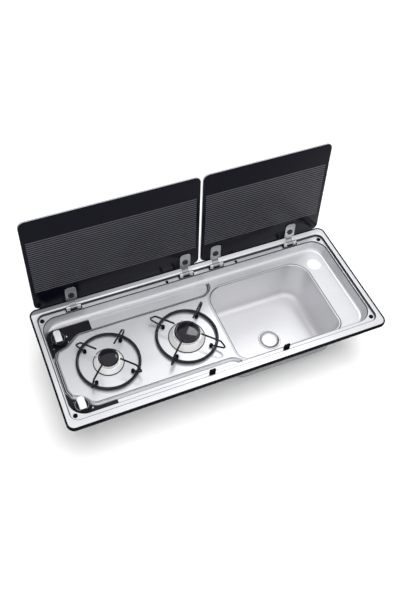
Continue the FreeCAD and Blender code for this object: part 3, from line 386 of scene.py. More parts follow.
def new_tree(name, inputs):
    tree = bpy.data.node_groups.new(name, "GeometryNodeTree")
    tree.interface.new_socket("Geometry", in_out="INPUT", socket_type="NodeSocketGeometry")
    for label, kind in inputs:
        tree.interface.new_socket(label, in_out="INPUT", socket_type=kind)
    tree.interface.new_socket("Geometry", in_out="OUTPUT", socket_type="NodeSocketGeometry")
    return tree, tree.nodes.new("NodeGroupInput").outputs


def close_tree(tree, entry, instances):
    """End a tree in plain faces with one material."""
    real = add_node(tree, "GeometryNodeRealizeInstances", {"Geometry": instances})
    paint = add_node(tree, "GeometryNodeSetMaterial",
                     {"Geometry": real.outputs["Geometry"], "Material": entry["Finish"]})
    add_node(tree, "NodeGroupOutput", {"Geometry": paint.outputs["Geometry"]})
    return tree


def scatter_tree():
    """Set one fixing on each point, turned and sized by the point's own values."""
    tree, entry = new_tree("fixings on points", (
        ("Fixing", "NodeSocketObject"), ("Finish", "NodeSocketMaterial")))
    shape = add_node(tree, "GeometryNodeObjectInfo", {"Object": entry["Fixing"]})
    turn = add_node(tree, "GeometryNodeInputNamedAttribute", {"Name": "turn"}, data_type="FLOAT_VECTOR")
    size = add_node(tree, "GeometryNodeInputNamedAttribute", {"Name": "size"}, data_type="FLOAT")
    rotation = add_node(tree, "FunctionNodeEulerToRotation", {"Euler": turn.outputs["Attribute"]})
    place = add_node(tree, "GeometryNodeInstanceOnPoints", {
        "Points": entry["Geometry"], "Instance": shape.outputs["Geometry"],
        "Rotation": rotation.outputs["Rotation"], "Scale": size.outputs["Attribute"]})
    return close_tree(tree, entry, place.outputs["Instances"])


def stripe_tree():
    """A row of long thin stripes, one above the other."""
    tree, entry = new_tree("lid stripes", (
        ("Stripe Length", "NodeSocketFloat"), ("Stripe Width", "NodeSocketFloat"),
        ("Pitch", "NodeSocketFloat"), ("Count", "NodeSocketInt"), ("Finish", "NodeSocketMaterial")))
    step = add_node(tree, "ShaderNodeCombineXYZ", {"Y": entry["Pitch"]})
    row = add_node(tree, "GeometryNodeMeshLine", {"Count": entry["Count"], "Offset": step.outputs["Vector"]})
    stripe = add_node(tree, "GeometryNodeMeshGrid", {
        "Size X": entry["Stripe Length"], "Size Y": entry["Stripe Width"], "Vertices X": 9, "Vertices Y": 2})
    place = add_node(tree, "GeometryNodeInstanceOnPoints", {
        "Points": row.outputs["Mesh"], "Instance": stripe.outputs["Mesh"]})
    return close_tree(tree, entry, place.outputs["Instances"])


def grown(name, source, tree, values):
    """Run a tree on the mesh source and keep what it makes as a plain mesh."""
    holder = bpy.data.objects.new(name, source)
    bpy.context.scene.collection.objects.link(holder)
    modifier = holder.modifiers.new("grow", "NODES")
    modifier.node_group = tree
    for item in tree.interface.items_tree:
        if item.item_type == "SOCKET" and item.in_out == "INPUT" and item.name in values:
            modifier[item.identifier] = values[item.name]
    bpy.context.view_layer.update()
    graph = bpy.context.evaluated_depsgraph_get()
    mesh = bpy.data.meshes.new_from_object(holder.evaluated_get(graph))
    holder.modifiers.remove(modifier)
    bpy.data.objects.remove(holder)
    mesh.name = name
    if not mesh.polygons:
        raise RuntimeError("the tree made nothing for " + name)
    return mesh


def add_scatter(name, shape, spots, key, body, slot, *nodes, space=Matrix.Identity(4)):
    """A piece of instances of the mesh shape, one for each (place, turn, size) in spots."""
    points = bpy.data.meshes.new(name + "_points")
    points.from_pydata([place for place, _, _ in spots], [], [])
    points.attributes.new("turn", "FLOAT_VECTOR", "POINT")
    points.attributes.new("size", "FLOAT", "POINT")
    for index, (_, turn, size) in enumerate(spots):
        points.attributes["turn"].data[index].vector = turn
        points.attributes["size"].data[index].value = size
    model = bpy.data.objects.new(name + "_model", shape)
    bpy.context.scene.collection.objects.link(model)
    tree = bpy.data.node_groups.get("fixings on points") or scatter_tree()
    mesh = smoothed(grown(name, points, tree, {"Fixing": model, "Finish": FINISHES[key]}))
    bpy.data.objects.remove(model)
    mesh.transform(space)
    add_piece(name, mesh, body, slot, *nodes)


# Effects that several finishes share: a tone and a height, or a mask, each from 0 to 1 over the surface

def add_math(group, operation, *values):
    return add_node(group, "ShaderNodeMath", dict(enumerate(values)), operation=operation).outputs["Value"]


def add_vector(group, operation, *values):
    """A sum on vectors, whose outcome is a number for a length or a dot product."""
    node = add_node(group, "ShaderNodeVectorMath", dict(enumerate(values)), operation=operation)
    return node.outputs["Value" if operation in ("LENGTH", "DOT_PRODUCT") else "Vector"]


def add_noise(group, vector, scale, detail, roughness):
    return add_node(group, "ShaderNodeTexNoise", {
        "Vector": vector, "Scale": scale, "Detail": detail, "Roughness": roughness}).outputs["Fac"]


def ramp(group, value, limits, levels=(0.0, 1.0), kind="LINEAR"):
    """From the first level at the first limit to the second level at the second."""
    ends = dict(zip(("From Min", "From Max", "To Min", "To Max"), (*limits, *levels)))
    node = add_node(group, "ShaderNodeMapRange", {"Value": value, **ends}, interpolation_type=kind)
    return node.outputs["Result"]


def add_mix(tree, mask, first, second):
    """A colour that goes from the first to the second as the mask goes from 0 to 1."""
    node = add_node(tree, "ShaderNodeMix", {"Factor": mask, "A": first, "B": second}, data_type="RGBA")
    return node.outputs["Result"]


def new_effect(name, vectors, values, outputs=("Tone", "Height")):
    group = bpy.data.node_groups.new(name, "ShaderNodeTree")
    for labels, way, kind in ((vectors, "INPUT", "NodeSocketVector"), (values, "INPUT", "NodeSocketFloat"),
                              (outputs, "OUTPUT", "NodeSocketFloat")):
        for label in labels:
            group.interface.new_socket(label, in_out=way, socket_type=kind)
    return group, group.nodes.new("NodeGroupInput").outputs


def close_effect(group, fine, coarse, fine_share):
    """The tone is part fine and part coarse, and the height is fine alone."""
    tone = add_math(group, "ADD", add_math(group, "MULTIPLY", fine, fine_share),
                    add_math(group, "MULTIPLY", coarse, 1 - fine_share))
    add_node(group, "NodeGroupOutput", {"Tone": tone, "Height": fine})
    return group


def brushed_effect():
    """Fine lines drawn out along one direction, over soft clouds."""
    group, entry = new_effect("brushed lines", ("Vector", "Stretch"), ("Cloud",))
    drawn_out = add_vector(group, "MULTIPLY", entry["Vector"], entry["Stretch"])
    lines = add_noise(group, drawn_out, scale=1.0, detail=3.0, roughness=0.6)
    clouds = add_noise(group, entry["Vector"], scale=entry["Cloud"], detail=3.0, roughness=0.55)
    return close_effect(group, lines, clouds, fine_share=0.45)


def turned_effect():
    """Rings about the Z axis, as a lathe leaves them."""
    group, entry = new_effect("turned rings", ("Vector",), ("Rings",))
    reach = add_vector(group, "LENGTH", add_vector(group, "MULTIPLY", entry["Vector"], (1.0, 1.0, 0.0)))
    along = add_node(group, "ShaderNodeCombineXYZ", {"X": add_math(group, "MULTIPLY", reach, entry["Rings"])})
    rings = add_noise(group, along.outputs["Vector"], scale=1.0, detail=3.0, roughness=0.6)
    clouds = add_noise(group, entry["Vector"], scale=60.0, detail=2.0, roughness=0.5)
    return close_effect(group, rings, clouds, fine_share=0.75)


def grit_effect():
    """A fine grain, as moulded plastic, rubber and fired enamel have, under soft smudges."""
    group, entry = new_effect("grit", ("Vector",), ("Grain", "Smudge"))
    grain = add_noise(group, entry["Vector"], scale=entry["Grain"], detail=2.0, roughness=0.5)
    smudges = add_noise(group, entry["Vector"], scale=entry["Smudge"], detail=4.0, roughness=0.6)
    return close_effect(group, grain, smudges, fine_share=0.35)


BEND_LIMITS = ("Lowest", "Highest", "Flat", "Bent", "Upright", "Leaning", "Least Turn", "Full Turn")


def painted_shade_bend_effect():
    """A mask of the bends between two heights, neither flat nor upright, that look along a direction, on which
    shade and dark reflections are painted.
    """
    group, entry = new_effect("dark bends", ("Vector", "Normal", "Toward"), BEND_LIMITS, ("Mask",))
    height = add_node(group, "ShaderNodeSeparateXYZ", {"Vector": entry["Vector"]}).outputs["Z"]
    upward = add_node(group, "ShaderNodeSeparateXYZ", {"Vector": entry["Normal"]}).outputs["Z"]
    slope = add_math(group, "ABSOLUTE", upward)
    turn = add_vector(group, "DOT_PRODUCT", entry["Normal"], entry["Toward"])
    mask = add_math(group, "MULTIPLY", add_math(group, "GREATER_THAN", height, entry["Lowest"]),
                    add_math(group, "LESS_THAN", height, entry["Highest"]))
    for value, start, end in ((slope, "Flat", "Bent"), (slope, "Upright", "Leaning"),
                              (turn, "Least Turn", "Full Turn")):
        mask = add_math(group, "MULTIPLY", mask, ramp(group, value, (entry[start], entry[end])))
    add_node(group, "NodeGroupOutput", {"Mask": mask})
    return group


EFFECTS = {"brushed": brushed_effect, "turned": turned_effect, "grit": grit_effect, "bends": painted_shade_bend_effect}
EFFECT_GROUPS = {}


def add_effect(tree, effect, inputs):
    """Place an effect in a material; its group is built when a material first asks for it."""
    if effect not in EFFECT_GROUPS:
        EFFECT_GROUPS[effect] = EFFECTS[effect]()
    return add_node(tree, "ShaderNodeGroup", inputs, node_tree=EFFECT_GROUPS[effect]).outputs


# The tones between which a finish goes from its lower roughness to its higher
TONES = (0.3, 0.7)
BUMP_DEPTH = 0.0002


def finish(key, name, base, effect, values, rough, contrast, metallic=0.0, specular=0.5, bump=0.0,
           centre=None, spread_shine=0.0):
    """Keep a material whose colour and roughness follow an effect's tone, and whose bump follows its height.

    The colour goes either way from base by the contrast, and rough gives the lower and higher roughness.
    """
    material = bpy.data.materials.new(name)
    material.use_nodes = True
    tree = material.node_tree
    shader = tree.nodes["Principled BSDF"].inputs
    shader["Metallic"].default_value = metallic
    shader["Specular IOR Level"].default_value = specular
    if spread_shine:
        shader["Anisotropic"].default_value = spread_shine
        grain = add_node(tree, "ShaderNodeTangent", direction_type="RADIAL", axis="X")
        tree.links.new(grain.outputs["Tangent"], shader["Tangent"])
    vector = add_node(tree, "ShaderNodeTexCoord").outputs["Object"]
    if centre is not None:
        mapping = add_node(tree, "ShaderNodeMapping", {"Vector": vector, "Location": -centre})
        vector = mapping.outputs["Vector"]
    group = add_effect(tree, effect, {"Vector": vector, **values})
    dark = [part * (1 - contrast) for part in base]
    light = [min(1.0, part * (1 + contrast)) for part in base]
    tree.links.new(add_mix(tree, group["Tone"], (*dark, 1), (*light, 1)), shader["Base Color"])
    tree.links.new(ramp(tree, group["Tone"], TONES, rough), shader["Roughness"])
    if bump:
        relief = add_node(tree, "ShaderNodeBump", {
            "Strength": bump, "Distance": BUMP_DEPTH, "Height": group["Height"]})
        tree.links.new(relief.outputs["Normal"], shader["Normal"])
    FINISHES[key] = material


def paint_over(tree, base, mask):
    """Lay another colour over a material's own, as far as the mask says."""
    target = tree.nodes["Principled BSDF"].inputs["Base Color"]
    plain = target.links[0].from_socket
    tree.links.new(add_mix(tree, mask, plain, (*base, 1)), target)


def paint_shade_on_bowl_outside(key, centre, base):
    """Darken the faces that look away from centre: painted shade on the bowl's outside, which lies under the rim.
    """
    tree = FINISHES[key].node_tree
    place = add_node(tree, "ShaderNodeTexCoord").outputs
    reach = add_vector(tree, "SUBTRACT", place["Object"], centre)
    facing = add_vector(tree, "DOT_PRODUCT", reach, place["Normal"])
    paint_over(tree, base, add_math(tree, "GREATER_THAN", facing, 0.0))


# The normal's upward share at which a face is upright, and at which it leans
UPRIGHT = (0.1, 0.35)
# Limits that every face is past
EVERY = (-2.0, -1.0)


def paint_shade_on_bends(key, base, heights, slopes, walls=UPRIGHT, toward=(0, 0, 0), turns=EVERY):
    """Paint shade and dark reflections on the bends between two heights, which slopes, the normal's upward share,
    tells from the flats.

    Faces stay plain that are more upright than walls says, or that look along toward by less than turns says.
    """
    tree = FINISHES[key].node_tree
    place = add_node(tree, "ShaderNodeTexCoord").outputs
    limits = dict(zip(BEND_LIMITS, (*heights, *slopes, *walls, *turns)))
    group = add_effect(tree, "bends", {
        "Vector": place["Object"], "Normal": place["Normal"], "Toward": toward, **limits})
    paint_over(tree, base, group["Mask"])


def shade_rear_rim(key, base, above, depths, widths):
    """Darken what lies above a height, more over depths to the rear and less over widths to the right."""
    tree = FINISHES[key].node_tree
    place = add_node(tree, "ShaderNodeTexCoord").outputs["Object"]
    spot = add_node(tree, "ShaderNodeSeparateXYZ", {"Vector": place}).outputs
    shaded = add_math(tree, "MULTIPLY", ramp(tree, spot["Y"], depths),
                      add_math(tree, "GREATER_THAN", spot["Z"], above))
    paint_over(tree, base, add_math(tree, "MULTIPLY", shaded, ramp(tree, spot["X"], widths)))


# Key, material, stretch of the brushed lines, scale of the clouds, roughness, contrast and bump
BRUSHED_METALS = (
    # The dish's darker steel is painted shade in the hollow round the waste hole
    ("dish", "waste_dish_steel", (300, 300, 300), 40.0, (0.22, 0.34), 0.15, 0.0),
    ("bright", "satin_bright_steel", (900, 120, 900), 40.0, (0.10, 0.18), 0.12, 0.0),
    # The hinge leaves' steel is darkened as a painted reflection of the dark glass
    ("leaf", "hinge_leaf_steel", (900, 900, 60), 45.0, (0.14, 0.26), 0.35, 0.0),
    ("drawn", "drawn_tube", (200, 200, 1200), 30.0, (0.25, 0.40), 0.12, 0.03),
    ("brass", "machined_brass", (900, 900, 160), 60.0, (0.22, 0.38), 0.15, 0.04),
)
# Key, material, scales of the grain and of the smudges, roughness, contrast, metallic, specular and bump
GRITTY_FINISHES = (
    ("enamel", "gloss_black_enamel", 500.0, 30.0, (0.03, 0.06), 0.35, 0.0, 0.4, 0.0),
    ("wire", "gloss_black_wire", 900.0, 40.0, (0.05, 0.10), 0.35, 0.0, 0.30, 0.0),
    ("plastic", "matt_black_plastic", 2400.0, 30.0, (0.38, 0.55), 0.30, 0.0, 0.2, 0.06),
    ("rubber", "black_rubber", 1600.0, 40.0, (0.65, 0.85), 0.30, 0.0, 0.03, 0.10),
    ("grip", "silver_lacquer", 2500.0, 60.0, (0.25, 0.36), 0.06, 0.35, 0.5, 0.03),
    ("mark", "pale_marking_ink", 4000.0, 200.0, (0.45, 0.60), 0.10, 0.0, 0.5, 0.05),
    ("glass", "dark_tinted_glass", 300.0, 6.0, (0.12, 0.20), 0.20, 0.0, 0.08, 0.0),
    ("print", "printed_stripes", 900.0, 5.0, (0.25, 0.40), 0.14, 0.0, 0.2, 0.0),
    ("edge", "ground_glass_edge", 2500.0, 20.0, (0.25, 0.45), 0.20, 0.0, 0.5, 0.0),
)
# How far the satin steel's roughness goes either way
SATIN_SPREAD = 0.05


def make_finishes(scene):
    metals, darks, lids = scene.hob_sink_metals, scene.hob_sink_darks, scene.hob_sink_lids
    low, high = metals.sheet_roughness - SATIN_SPREAD, metals.sheet_roughness + SATIN_SPREAD
    for key, name in (("sheet", "satin_sheet"), ("bead", "satin_plateau_bead"), ("lip", "satin_bowl_lip")):
        finish(key, name, metals.sheet, "brushed", {"Stretch": (26, 900, 900), "Cloud": 7.0}, (low, high),
               contrast=0.10, metallic=metals.mirror, spread_shine=0.6)
    # Painted shade and dark reflections: the bends of the plateau level and of the rim, and the flanks of the
    # plateau's bead and of the bowl's lip; all but the rim only where they face one way
    paint_shade_on_bends("sheet", metals.bend, heights=(-0.0306, -0.0261), slopes=(0.998, 0.97),
                 toward=(0, 1, 0), turns=(-0.45, -0.1))
    paint_shade_on_bends("sheet", metals.bend, heights=(-0.001, 0.0089), slopes=(0.985, 0.92), walls=EVERY)
    shade_rear_rim("sheet", metals.shaded, above=0.0085, depths=(0.168, 0.1705), widths=(0.60, -0.35))
    paint_shade_on_bends("bead", metals.bend, heights=(-0.027, -0.024), slopes=(0.9995, 0.985),
                 toward=(-0.7, 0.7, 0), turns=(0.01, 0.06))
    paint_shade_on_bends("lip", metals.bend, heights=(-0.030, -0.024), slopes=(0.998, 0.975),
                 toward=(1, 0, 0), turns=(-0.2, 0.25))
    low, high = metals.bowl_roughness - SATIN_SPREAD, metals.bowl_roughness + SATIN_SPREAD
    finish("bowl", "satin_bowl", metals.bowl, "brushed", {"Stretch": (300, 300, 300), "Cloud": 8.0},
           (low, high), contrast=0.08, metallic=metals.mirror)
    # Painted shade on the bowl's outside
    paint_shade_on_bowl_outside("bowl", middle(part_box("sink_bowl")), metals.outside)
    for size in BURNERS:
        finish(size + "_turned", size + "_turned_alloy", metals.turned, "turned", {"Rings": 500.0},
               (0.28, 0.42), contrast=0.10, metallic=0.28, centre=middle(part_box(size + "_burner_cup")))
    for key, name, stretch, cloud, rough, contrast, bump in BRUSHED_METALS:
        finish(key, name, getattr(metals, key), "brushed", {"Stretch": stretch, "Cloud": cloud}, rough,
               contrast, metallic=1.0, bump=bump)
    colours = {"wire": darks.enamel, "glass": lids.glass, "print": lids.print, "edge": lids.edge}
    for key, name, grain, smudge, rough, contrast, metallic, specular, bump in GRITTY_FINISHES:
        base = colours[key] if key in colours else getattr(darks, key)
        finish(key, name, base, "grit", {"Grain": grain, "Smudge": smudge}, rough, contrast, metallic,
               specular, bump)


SLOT_FINISH = {"stainless": "sheet", "bright_steel": "bright", "pipe_alloy": "drawn", "brass": "brass",
               "black_enamel": "wire", "black_plastic": "plastic", "black_rubber": "rubber",
               "silver_plastic": "grip", "tinted_glass": "glass"}


def node_finish(part):
    node, slot = part["node"], part["material_slot"]
    if node == "sink_bowl":
        return FINISHES["bowl"]
    if node.endswith("hinge_leaf"):
        return FINISHES["leaf"]
    if slot == "burner_alloy":
        return FINISHES[node.split("_")[0] + "_turned"]
    return FINISHES[SLOT_FINISH[slot]]


class HOBSINK_OT_finishes(Operator):
    """Make every finish and give each CAD part its own"""
    bl_idname = "hob_sink.finishes"
    bl_label = "Finishes"

    def execute(self, context):
        make_finishes(context.scene)
        for part in frame["record"]["subparts"]:
            material = node_finish(part)
            for slot in NODES[part["node"]].material_slots:
                slot.material = material
        return {"FINISHED"}


class HOBSINK_OT_lids(Operator):
    """Make the two glass panes with their ground edges and printed stripes"""
    bl_idname = "hob_sink.lids"
    bl_label = "Glass lids"

    def execute(self, context):
        look = context.scene.hob_sink_lids
        tree = stripe_tree()
        for side in LIDS:
            node = side + "_lid_glass"
            low, high = corners_in(node, OPEN_LID)
            self.pane(side, node, low, high, look)
            self.stripes(side, tree, low, high, look)
        return {"FINISHED"}

    def pane(self, side, node, low, high, look):
        """The ground edge is every face that doesn't lie flat."""
        flat = 0.99
        name = side + "_lid_pane"
        bm = bmesh.new()
        add_prism(bm, rounded_outline(low, high, look.corner), low.z + look.skin, high.z - look.skin)
        level = [edge for edge in bm.edges if abs(edge.verts[0].co.z - edge.verts[1].co.z) < SAME]
        bmesh.ops.bevel(bm, geom=level, offset=look.bevel, segments=2, profile=0.5, affect="EDGES")
        bmesh.ops.recalc_face_normals(bm, faces=bm.faces)
        for face in bm.faces:
            face.material_index = 0 if abs(face.normal.z) > flat else 1
        mesh = mesh_from(bm, name, "glass", "edge")
        mesh.transform(OPEN_LID)
        add_piece(name, mesh, side + "_lid", "tinted_glass", node)

    def stripes(self, side, tree, low, high, look):
        """The print shows on both faces of the glass."""
        near = low.y + look.front_band
        far = high.y - look.rear_band
        count = int((far - near) / look.pitch)
        values = {"Stripe Length": high.x - low.x - 2 * look.side_band, "Stripe Width": look.stripe,
                  "Pitch": look.pitch, "Count": count, "Finish": FINISHES["print"]}
        across = (low.x + high.x) / 2
        first = (near + far - (count - 1) * look.pitch) / 2
        last = first + (count - 1) * look.pitch
        lift = look.skin / 4
        under = Matrix.Translation((across, last, low.z + lift)) @ Matrix.Rotation(math.pi, 4, "X")
        over = Matrix.Translation((across, first, high.z - lift))
        for face, place in (("under", under), ("over", over)):
            name = "%s_lid_%s_print" % (side, face)
            mesh = grown(name, bpy.data.meshes.new(name + "_seed"), tree, values)
            mesh.transform(OPEN_LID @ place)
            add_piece(name, mesh, side + "_lid", "tinted_glass")


class HOBSINK_OT_clamps(Operator):
    """Make the black discs that clamp the glass to the hinge leaves"""
    bl_idname = "hob_sink.clamps"
    bl_label = "Lid clamps"

    def execute(self, context):
        look = context.scene.hob_sink_lids
        leaf_thickness = 0.002
        shares = ((0, 0), (1, 0), (1, 0.62), (0.93, 0.9), (0.84, 1), (0.52, 1), (0.47, 0.82), (0.25, 0.72),
                  (0, 0.70))
        for side in LIDS:
            bm = bmesh.new()
            add_turned(bm, scaled(shares, look.clamp, look.clamp_height), Vector(), steps=36)
            heads, caps = side + "_clamp_screws", side + "_clamp_caps"
            leaf = corners_in(side + "_lid_glass", OPEN_LID)[0].z - leaf_thickness
            spots = [(middle_at(box, leaf), (math.pi, 0, 0), 1) for box in islands(heads, OPEN_LID)]
            spots += [(middle_at(box, box[0].z), (0, 0, 0), 1) for box in islands(caps, OPEN_LID)]
            add_scatter(side + "_lid_clamps", mesh_from(bm, "clamp_disc"), spots, "enamel",
                        side + "_lid", "black_plastic", heads, caps, space=OPEN_LID)
        return {"FINISHED"}


class HOBSINK_OT_burner_lids(Operator):
    """Make the domed burner lids with a groove inside their rim"""
    bl_idname = "hob_sink.burner_lids"
    bl_label = "Burner lids"

    def execute(self, context):
        shares = ((0, 0), (0.94, 0), (0.982, 0.06), (1, 0.22), (1, 0.44), (0.985, 0.62), (0.95, 0.76),
                  (0.905, 0.82), (0.87, 0.80), (0.85, 0.75), (0.825, 0.79), (0.76, 0.85), (0.6, 0.92),
                  (0.4, 0.968), (0.2, 0.992), (0, 1))
        for size in BURNERS:
            node = size + "_burner_cap"
            box = low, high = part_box(node)
            bm = bmesh.new()
            add_turned(bm, scaled(shares, (high.x - low.x) / 2, high.z - low.z), middle_at(box, low.z),
                       context.scene.hob_sink_fixings.segments)
            add_solid(bm, size + "_burner_lid", ["enamel"], "unit", "black_enamel", node, sharp=50)
        return {"FINISHED"}


class HOBSINK_OT_seal(Operator):
    """Make the black bead with which the rim seal laps over the rim's edge"""
    bl_idname = "hob_sink.seal"
    bl_label = "Rim seal bead"

    def execute(self, context):
        look = context.scene.hob_sink_fixings
        low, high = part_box("rim_seal")
        rise, lap = look.seal_bead_height, look.seal_bead
        # each pair is how far outside the seal's edge, here always inside it, and how far above the seal
        section = [(0, 0), (-rise * 0.2, rise * 0.7), (-rise * 0.8, rise), (rise * 0.8 - lap, rise),
                   (rise * 0.2 - lap, rise * 0.7), (-lap, 0)]
        bm = bmesh.new()
        add_border(bm, low, high, high.z, section, look.seal_corner, look.seal_corner)
        add_solid(bm, "rim_seal_bead", ["rubber"], "unit", "black_rubber", sharp=ROUNDED)
        return {"FINISHED"}


class HOBSINK_OT_foot_rings(Operator):
    """Make the thin black ring round the foot of each burner's skirt"""
    bl_idname = "hob_sink.gaskets"
    bl_label = "Burner gaskets"

    def execute(self, context):
        look = context.scene.hob_sink_fixings
        foot = context.scene.hob_sink_bowl.plateau
        near_foot = 0.0006
        under_skirt = 0.002
        rise = look.gasket_height
        for size in BURNERS:
            node = size + "_burner_cup"
            centre = middle_at(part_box(node), foot)
            spots = [vertex.co for vertex in NODES[node].data.vertices if abs(vertex.co.z - foot) < near_foot]
            skirt = max((Vector((*spot.xy, foot)) - centre).length for spot in spots)
            inner, outer = skirt - under_skirt, skirt + look.gasket
            profile = [(inner, 0), (outer, 0), (outer, rise * 0.7), (outer - rise * 0.3, rise), (inner, rise)]
            bm = bmesh.new()
            add_hoop(bm, turned_rings(bm, profile, centre, look.segments))
            add_solid(bm, size + "_burner_gasket", ["rubber"], "unit", "black_rubber")
        return {"FINISHED"}


class HOBSINK_OT_plateau(Operator):
    """Make the low bead that follows the plateau's edge beside the trough"""
    bl_idname = "hob_sink.plateau"
    bl_label = "Plateau bead"

    def execute(self, context):
        # each pair is how far inside the plateau's edge and how far above the plateau
        section = [(0.0, -0.0003), (0.0002, 0.00005), (0.0020, 0.0006), (0.0034, 0.0009), (0.0046, 0.0008),
                   (0.0056, 0.0003), (0.0064, -0.0003)]
        bm = bmesh.new()
        for line in self.edge_lines(context.scene.hob_sink_bowl.plateau):
            rings = []
            for index, spot in enumerate(line):
                ahead = line[min(index + 1, len(line) - 1)] - line[max(index - 1, 0)]
                inward = Vector((ahead.y, -ahead.x, 0)).normalized()
                rings.append([bm.verts.new(spot + inward * reach + Vector((0, 0, up)))
                              for reach, up in section])
            for ring, next_ring in zip(rings, rings[1:]):
                bridge(bm, ring, next_ring)
            bm.faces.new(rings[0])
            bm.faces.new(list(reversed(rings[-1])))
        bmesh.ops.recalc_face_normals(bm, faces=bm.faces)
        add_solid(bm, "plateau_bead", ["bead"], "unit", "stainless", sharp=ROUNDED)
        return {"FINISHED"}

    def edge_lines(self, level):
        """Where the level plateau meets the bend to the trough, as lines with the plateau on their right."""
        on_level = 2e-5
        below_level = 1e-5
        flat_slope, bend_slope = 0.999, 0.9
        bm = bmesh.new()
        bm.from_mesh(NODES["top_plate"].data)
        bmesh.ops.remove_doubles(bm, verts=bm.verts, dist=SAME)
        bm.normal_update()
        follows = {}
        for edge in bm.edges:
            if len(edge.link_faces) != 2 or any(abs(vertex.co.z - level) > on_level for vertex in edge.verts):
                continue
            flat, bent = sorted(edge.link_faces, key=lambda face: -face.normal.z)
            if flat.normal.z < flat_slope or bent.normal.z < bend_slope:
                continue
            if min(vertex.co.z for vertex in bent.verts) > level - below_level:
                continue
            loop = next(loop for loop in edge.link_loops if loop.face == flat)
            follows[loop.link_loop_next.vert] = loop.vert
        lines = []
        firsts = set(follows) - set(follows.values())
        for here in sorted(firsts, key=lambda vertex: tuple(vertex.co)):
            line = [here.co.copy()]
            while here in follows:
                here = follows[here]
                line.append(here.co.copy())
            lines.append(line)
        bm.free()
        if not lines:
            raise RuntimeError("the plateau's edge was not found")
        return lines


class HOBSINK_OT_bowl(Operator):
    """Make the rolled bead round the bowl's mouth and the dish round the waste hole"""
    bl_idname = "hob_sink.bowl"
    bl_label = "Bowl trim"

    def execute(self, context):
        look = context.scene.hob_sink_bowl
        low, high = Vector((look.left, look.front, 0)), Vector((look.right, look.rear, 0))
        # each pair is how far outside the mouth and how far above the plateau
        section = [(-0.0008, -0.0036), (-0.0008, -0.0016), (-0.0005, -0.0004), (0.0003, 0.0006),
                   (0.0014, 0.0012), (0.0028, 0.0014), (0.0044, 0.0011), (0.0060, 0.0005), (0.0072, -0.0002),
                   (0.0006, -0.0004), (0.0, -0.0036)]
        bm = bmesh.new()
        add_border(bm, low, high, look.plateau, section, look.corner, look.front_corner)
        add_solid(bm, "bowl_mouth_bead", ["lip"], "unit", "stainless", sharp=ROUNDED)
        # each pair is a radius about the waste hole and how far above the bowl's floor
        profile = [(0.0212, -0.0032), (0.0335, -0.0006), (0.0335, 0.0001), (0.0315, 0.00005),
                   (0.0298, -0.0004), (0.0282, -0.0013), (0.0262, -0.0022), (0.0238, -0.0027),
                   (0.0212, -0.0029)]
        centre = Vector((look.waste_x, look.waste_y, look.floor))
        bm = bmesh.new()
        add_hoop(bm, turned_rings(bm, profile, centre, context.scene.hob_sink_fixings.segments))
        # The dish's darker steel is painted shade
        add_solid(bm, "waste_dish", ["dish"], "unit", "stainless", sharp=ROUNDED)
        return {"FINISHED"}


class HOBSINK_OT_knobs(Operator):
    """Make the silver knob bars with their dark ends, and the bright ring on each skirt"""
    bl_idname = "hob_sink.knobs"
    bl_label = "Knobs"

    def execute(self, context):
        look = context.scene.hob_sink_fixings
        for knob in KNOBS:
            self.bar(knob, look)
            self.ring(knob, look)
        return {"FINISHED"}

    def bar(self, knob, look):
        node = knob + "_knob_grip"
        low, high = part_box(node)
        corner_share = 0.22
        end_slope, top_slope = 0.6, 0.5
        corner = min(high.x - low.x, high.y - low.y) * corner_share
        bm = bmesh.new()
        add_prism(bm, rounded_outline(low, high, corner, steps=5), low.z, high.z)
        top = [edge for edge in bm.edges if min(vertex.co.z for vertex in edge.verts) > high.z - SAME]
        bmesh.ops.bevel(bm, geom=top, offset=look.grip_bevel, segments=4, profile=0.5, affect="EDGES")
        bmesh.ops.recalc_face_normals(bm, faces=bm.faces)
        for face in bm.faces:
            dark_end = abs(face.normal.y) > end_slope and face.normal.z < top_slope
            face.material_index = 1 if dark_end else 0
        add_solid(bm, knob + "_knob_bar", ["grip", "plastic"], knob + "_knob", "silver_plastic", node)

    def ring(self, knob, look):
        width, sink, edge, rise, chamfer = 0.0009, 0.0002, 0.0001, 0.0003, 0.0002
        inner, outer = look.knob_ring - width, look.knob_ring
        profile = [(inner, -sink), (outer, -sink), (outer, edge), (outer - chamfer, rise),
                   (inner + chamfer, rise), (inner, edge)]
        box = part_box(knob + "_knob_skirt")
        bm = bmesh.new()
        add_hoop(bm, turned_rings(bm, profile, middle_at(box, box[1].z), look.segments))
        add_solid(bm, knob + "_knob_ring", ["bright"], knob + "_knob", "bright_steel")


def cross_screw(radius, height):
    """A screw head with a cross recess, standing on z 0."""
    bm = bmesh.new()
    shares = ((1.0, 0.0), (1.0, 0.45), (0.93, 0.75), (0.78, 1.0))
    rings = turned_rings(bm, scaled(shares, radius, height), Vector(), steps=24)
    for lower, upper in zip(rings, rings[1:]):
        bridge(bm, lower, upper)
    bm.faces.new(list(reversed(rings[0])))
    arm, half, recess = radius * 0.55, radius * 0.14, height * 0.4
    cross = [(arm, -half), (arm, half), (half, half), (half, arm), (-half, arm), (-half, half),
             (-arm, half), (-arm, -half), (-half, -half), (-half, -arm), (half, -arm), (half, -half)]
    mouth, floor = [[bm.verts.new((x, y, level)) for x, y in cross] for level in (height, recess)]
    bridge(bm, mouth, floor)
    bm.faces.new(floor)
    rims = [bm.edges.get(pair) for ring in (mouth, rings[-1]) for pair in zip(ring, ring[1:] + ring[:1])]
    bmesh.ops.triangle_fill(bm, use_beauty=True, edges=rims)
    bmesh.ops.recalc_face_normals(bm, faces=bm.faces)
    return mesh_from(bm, "cross_screw")


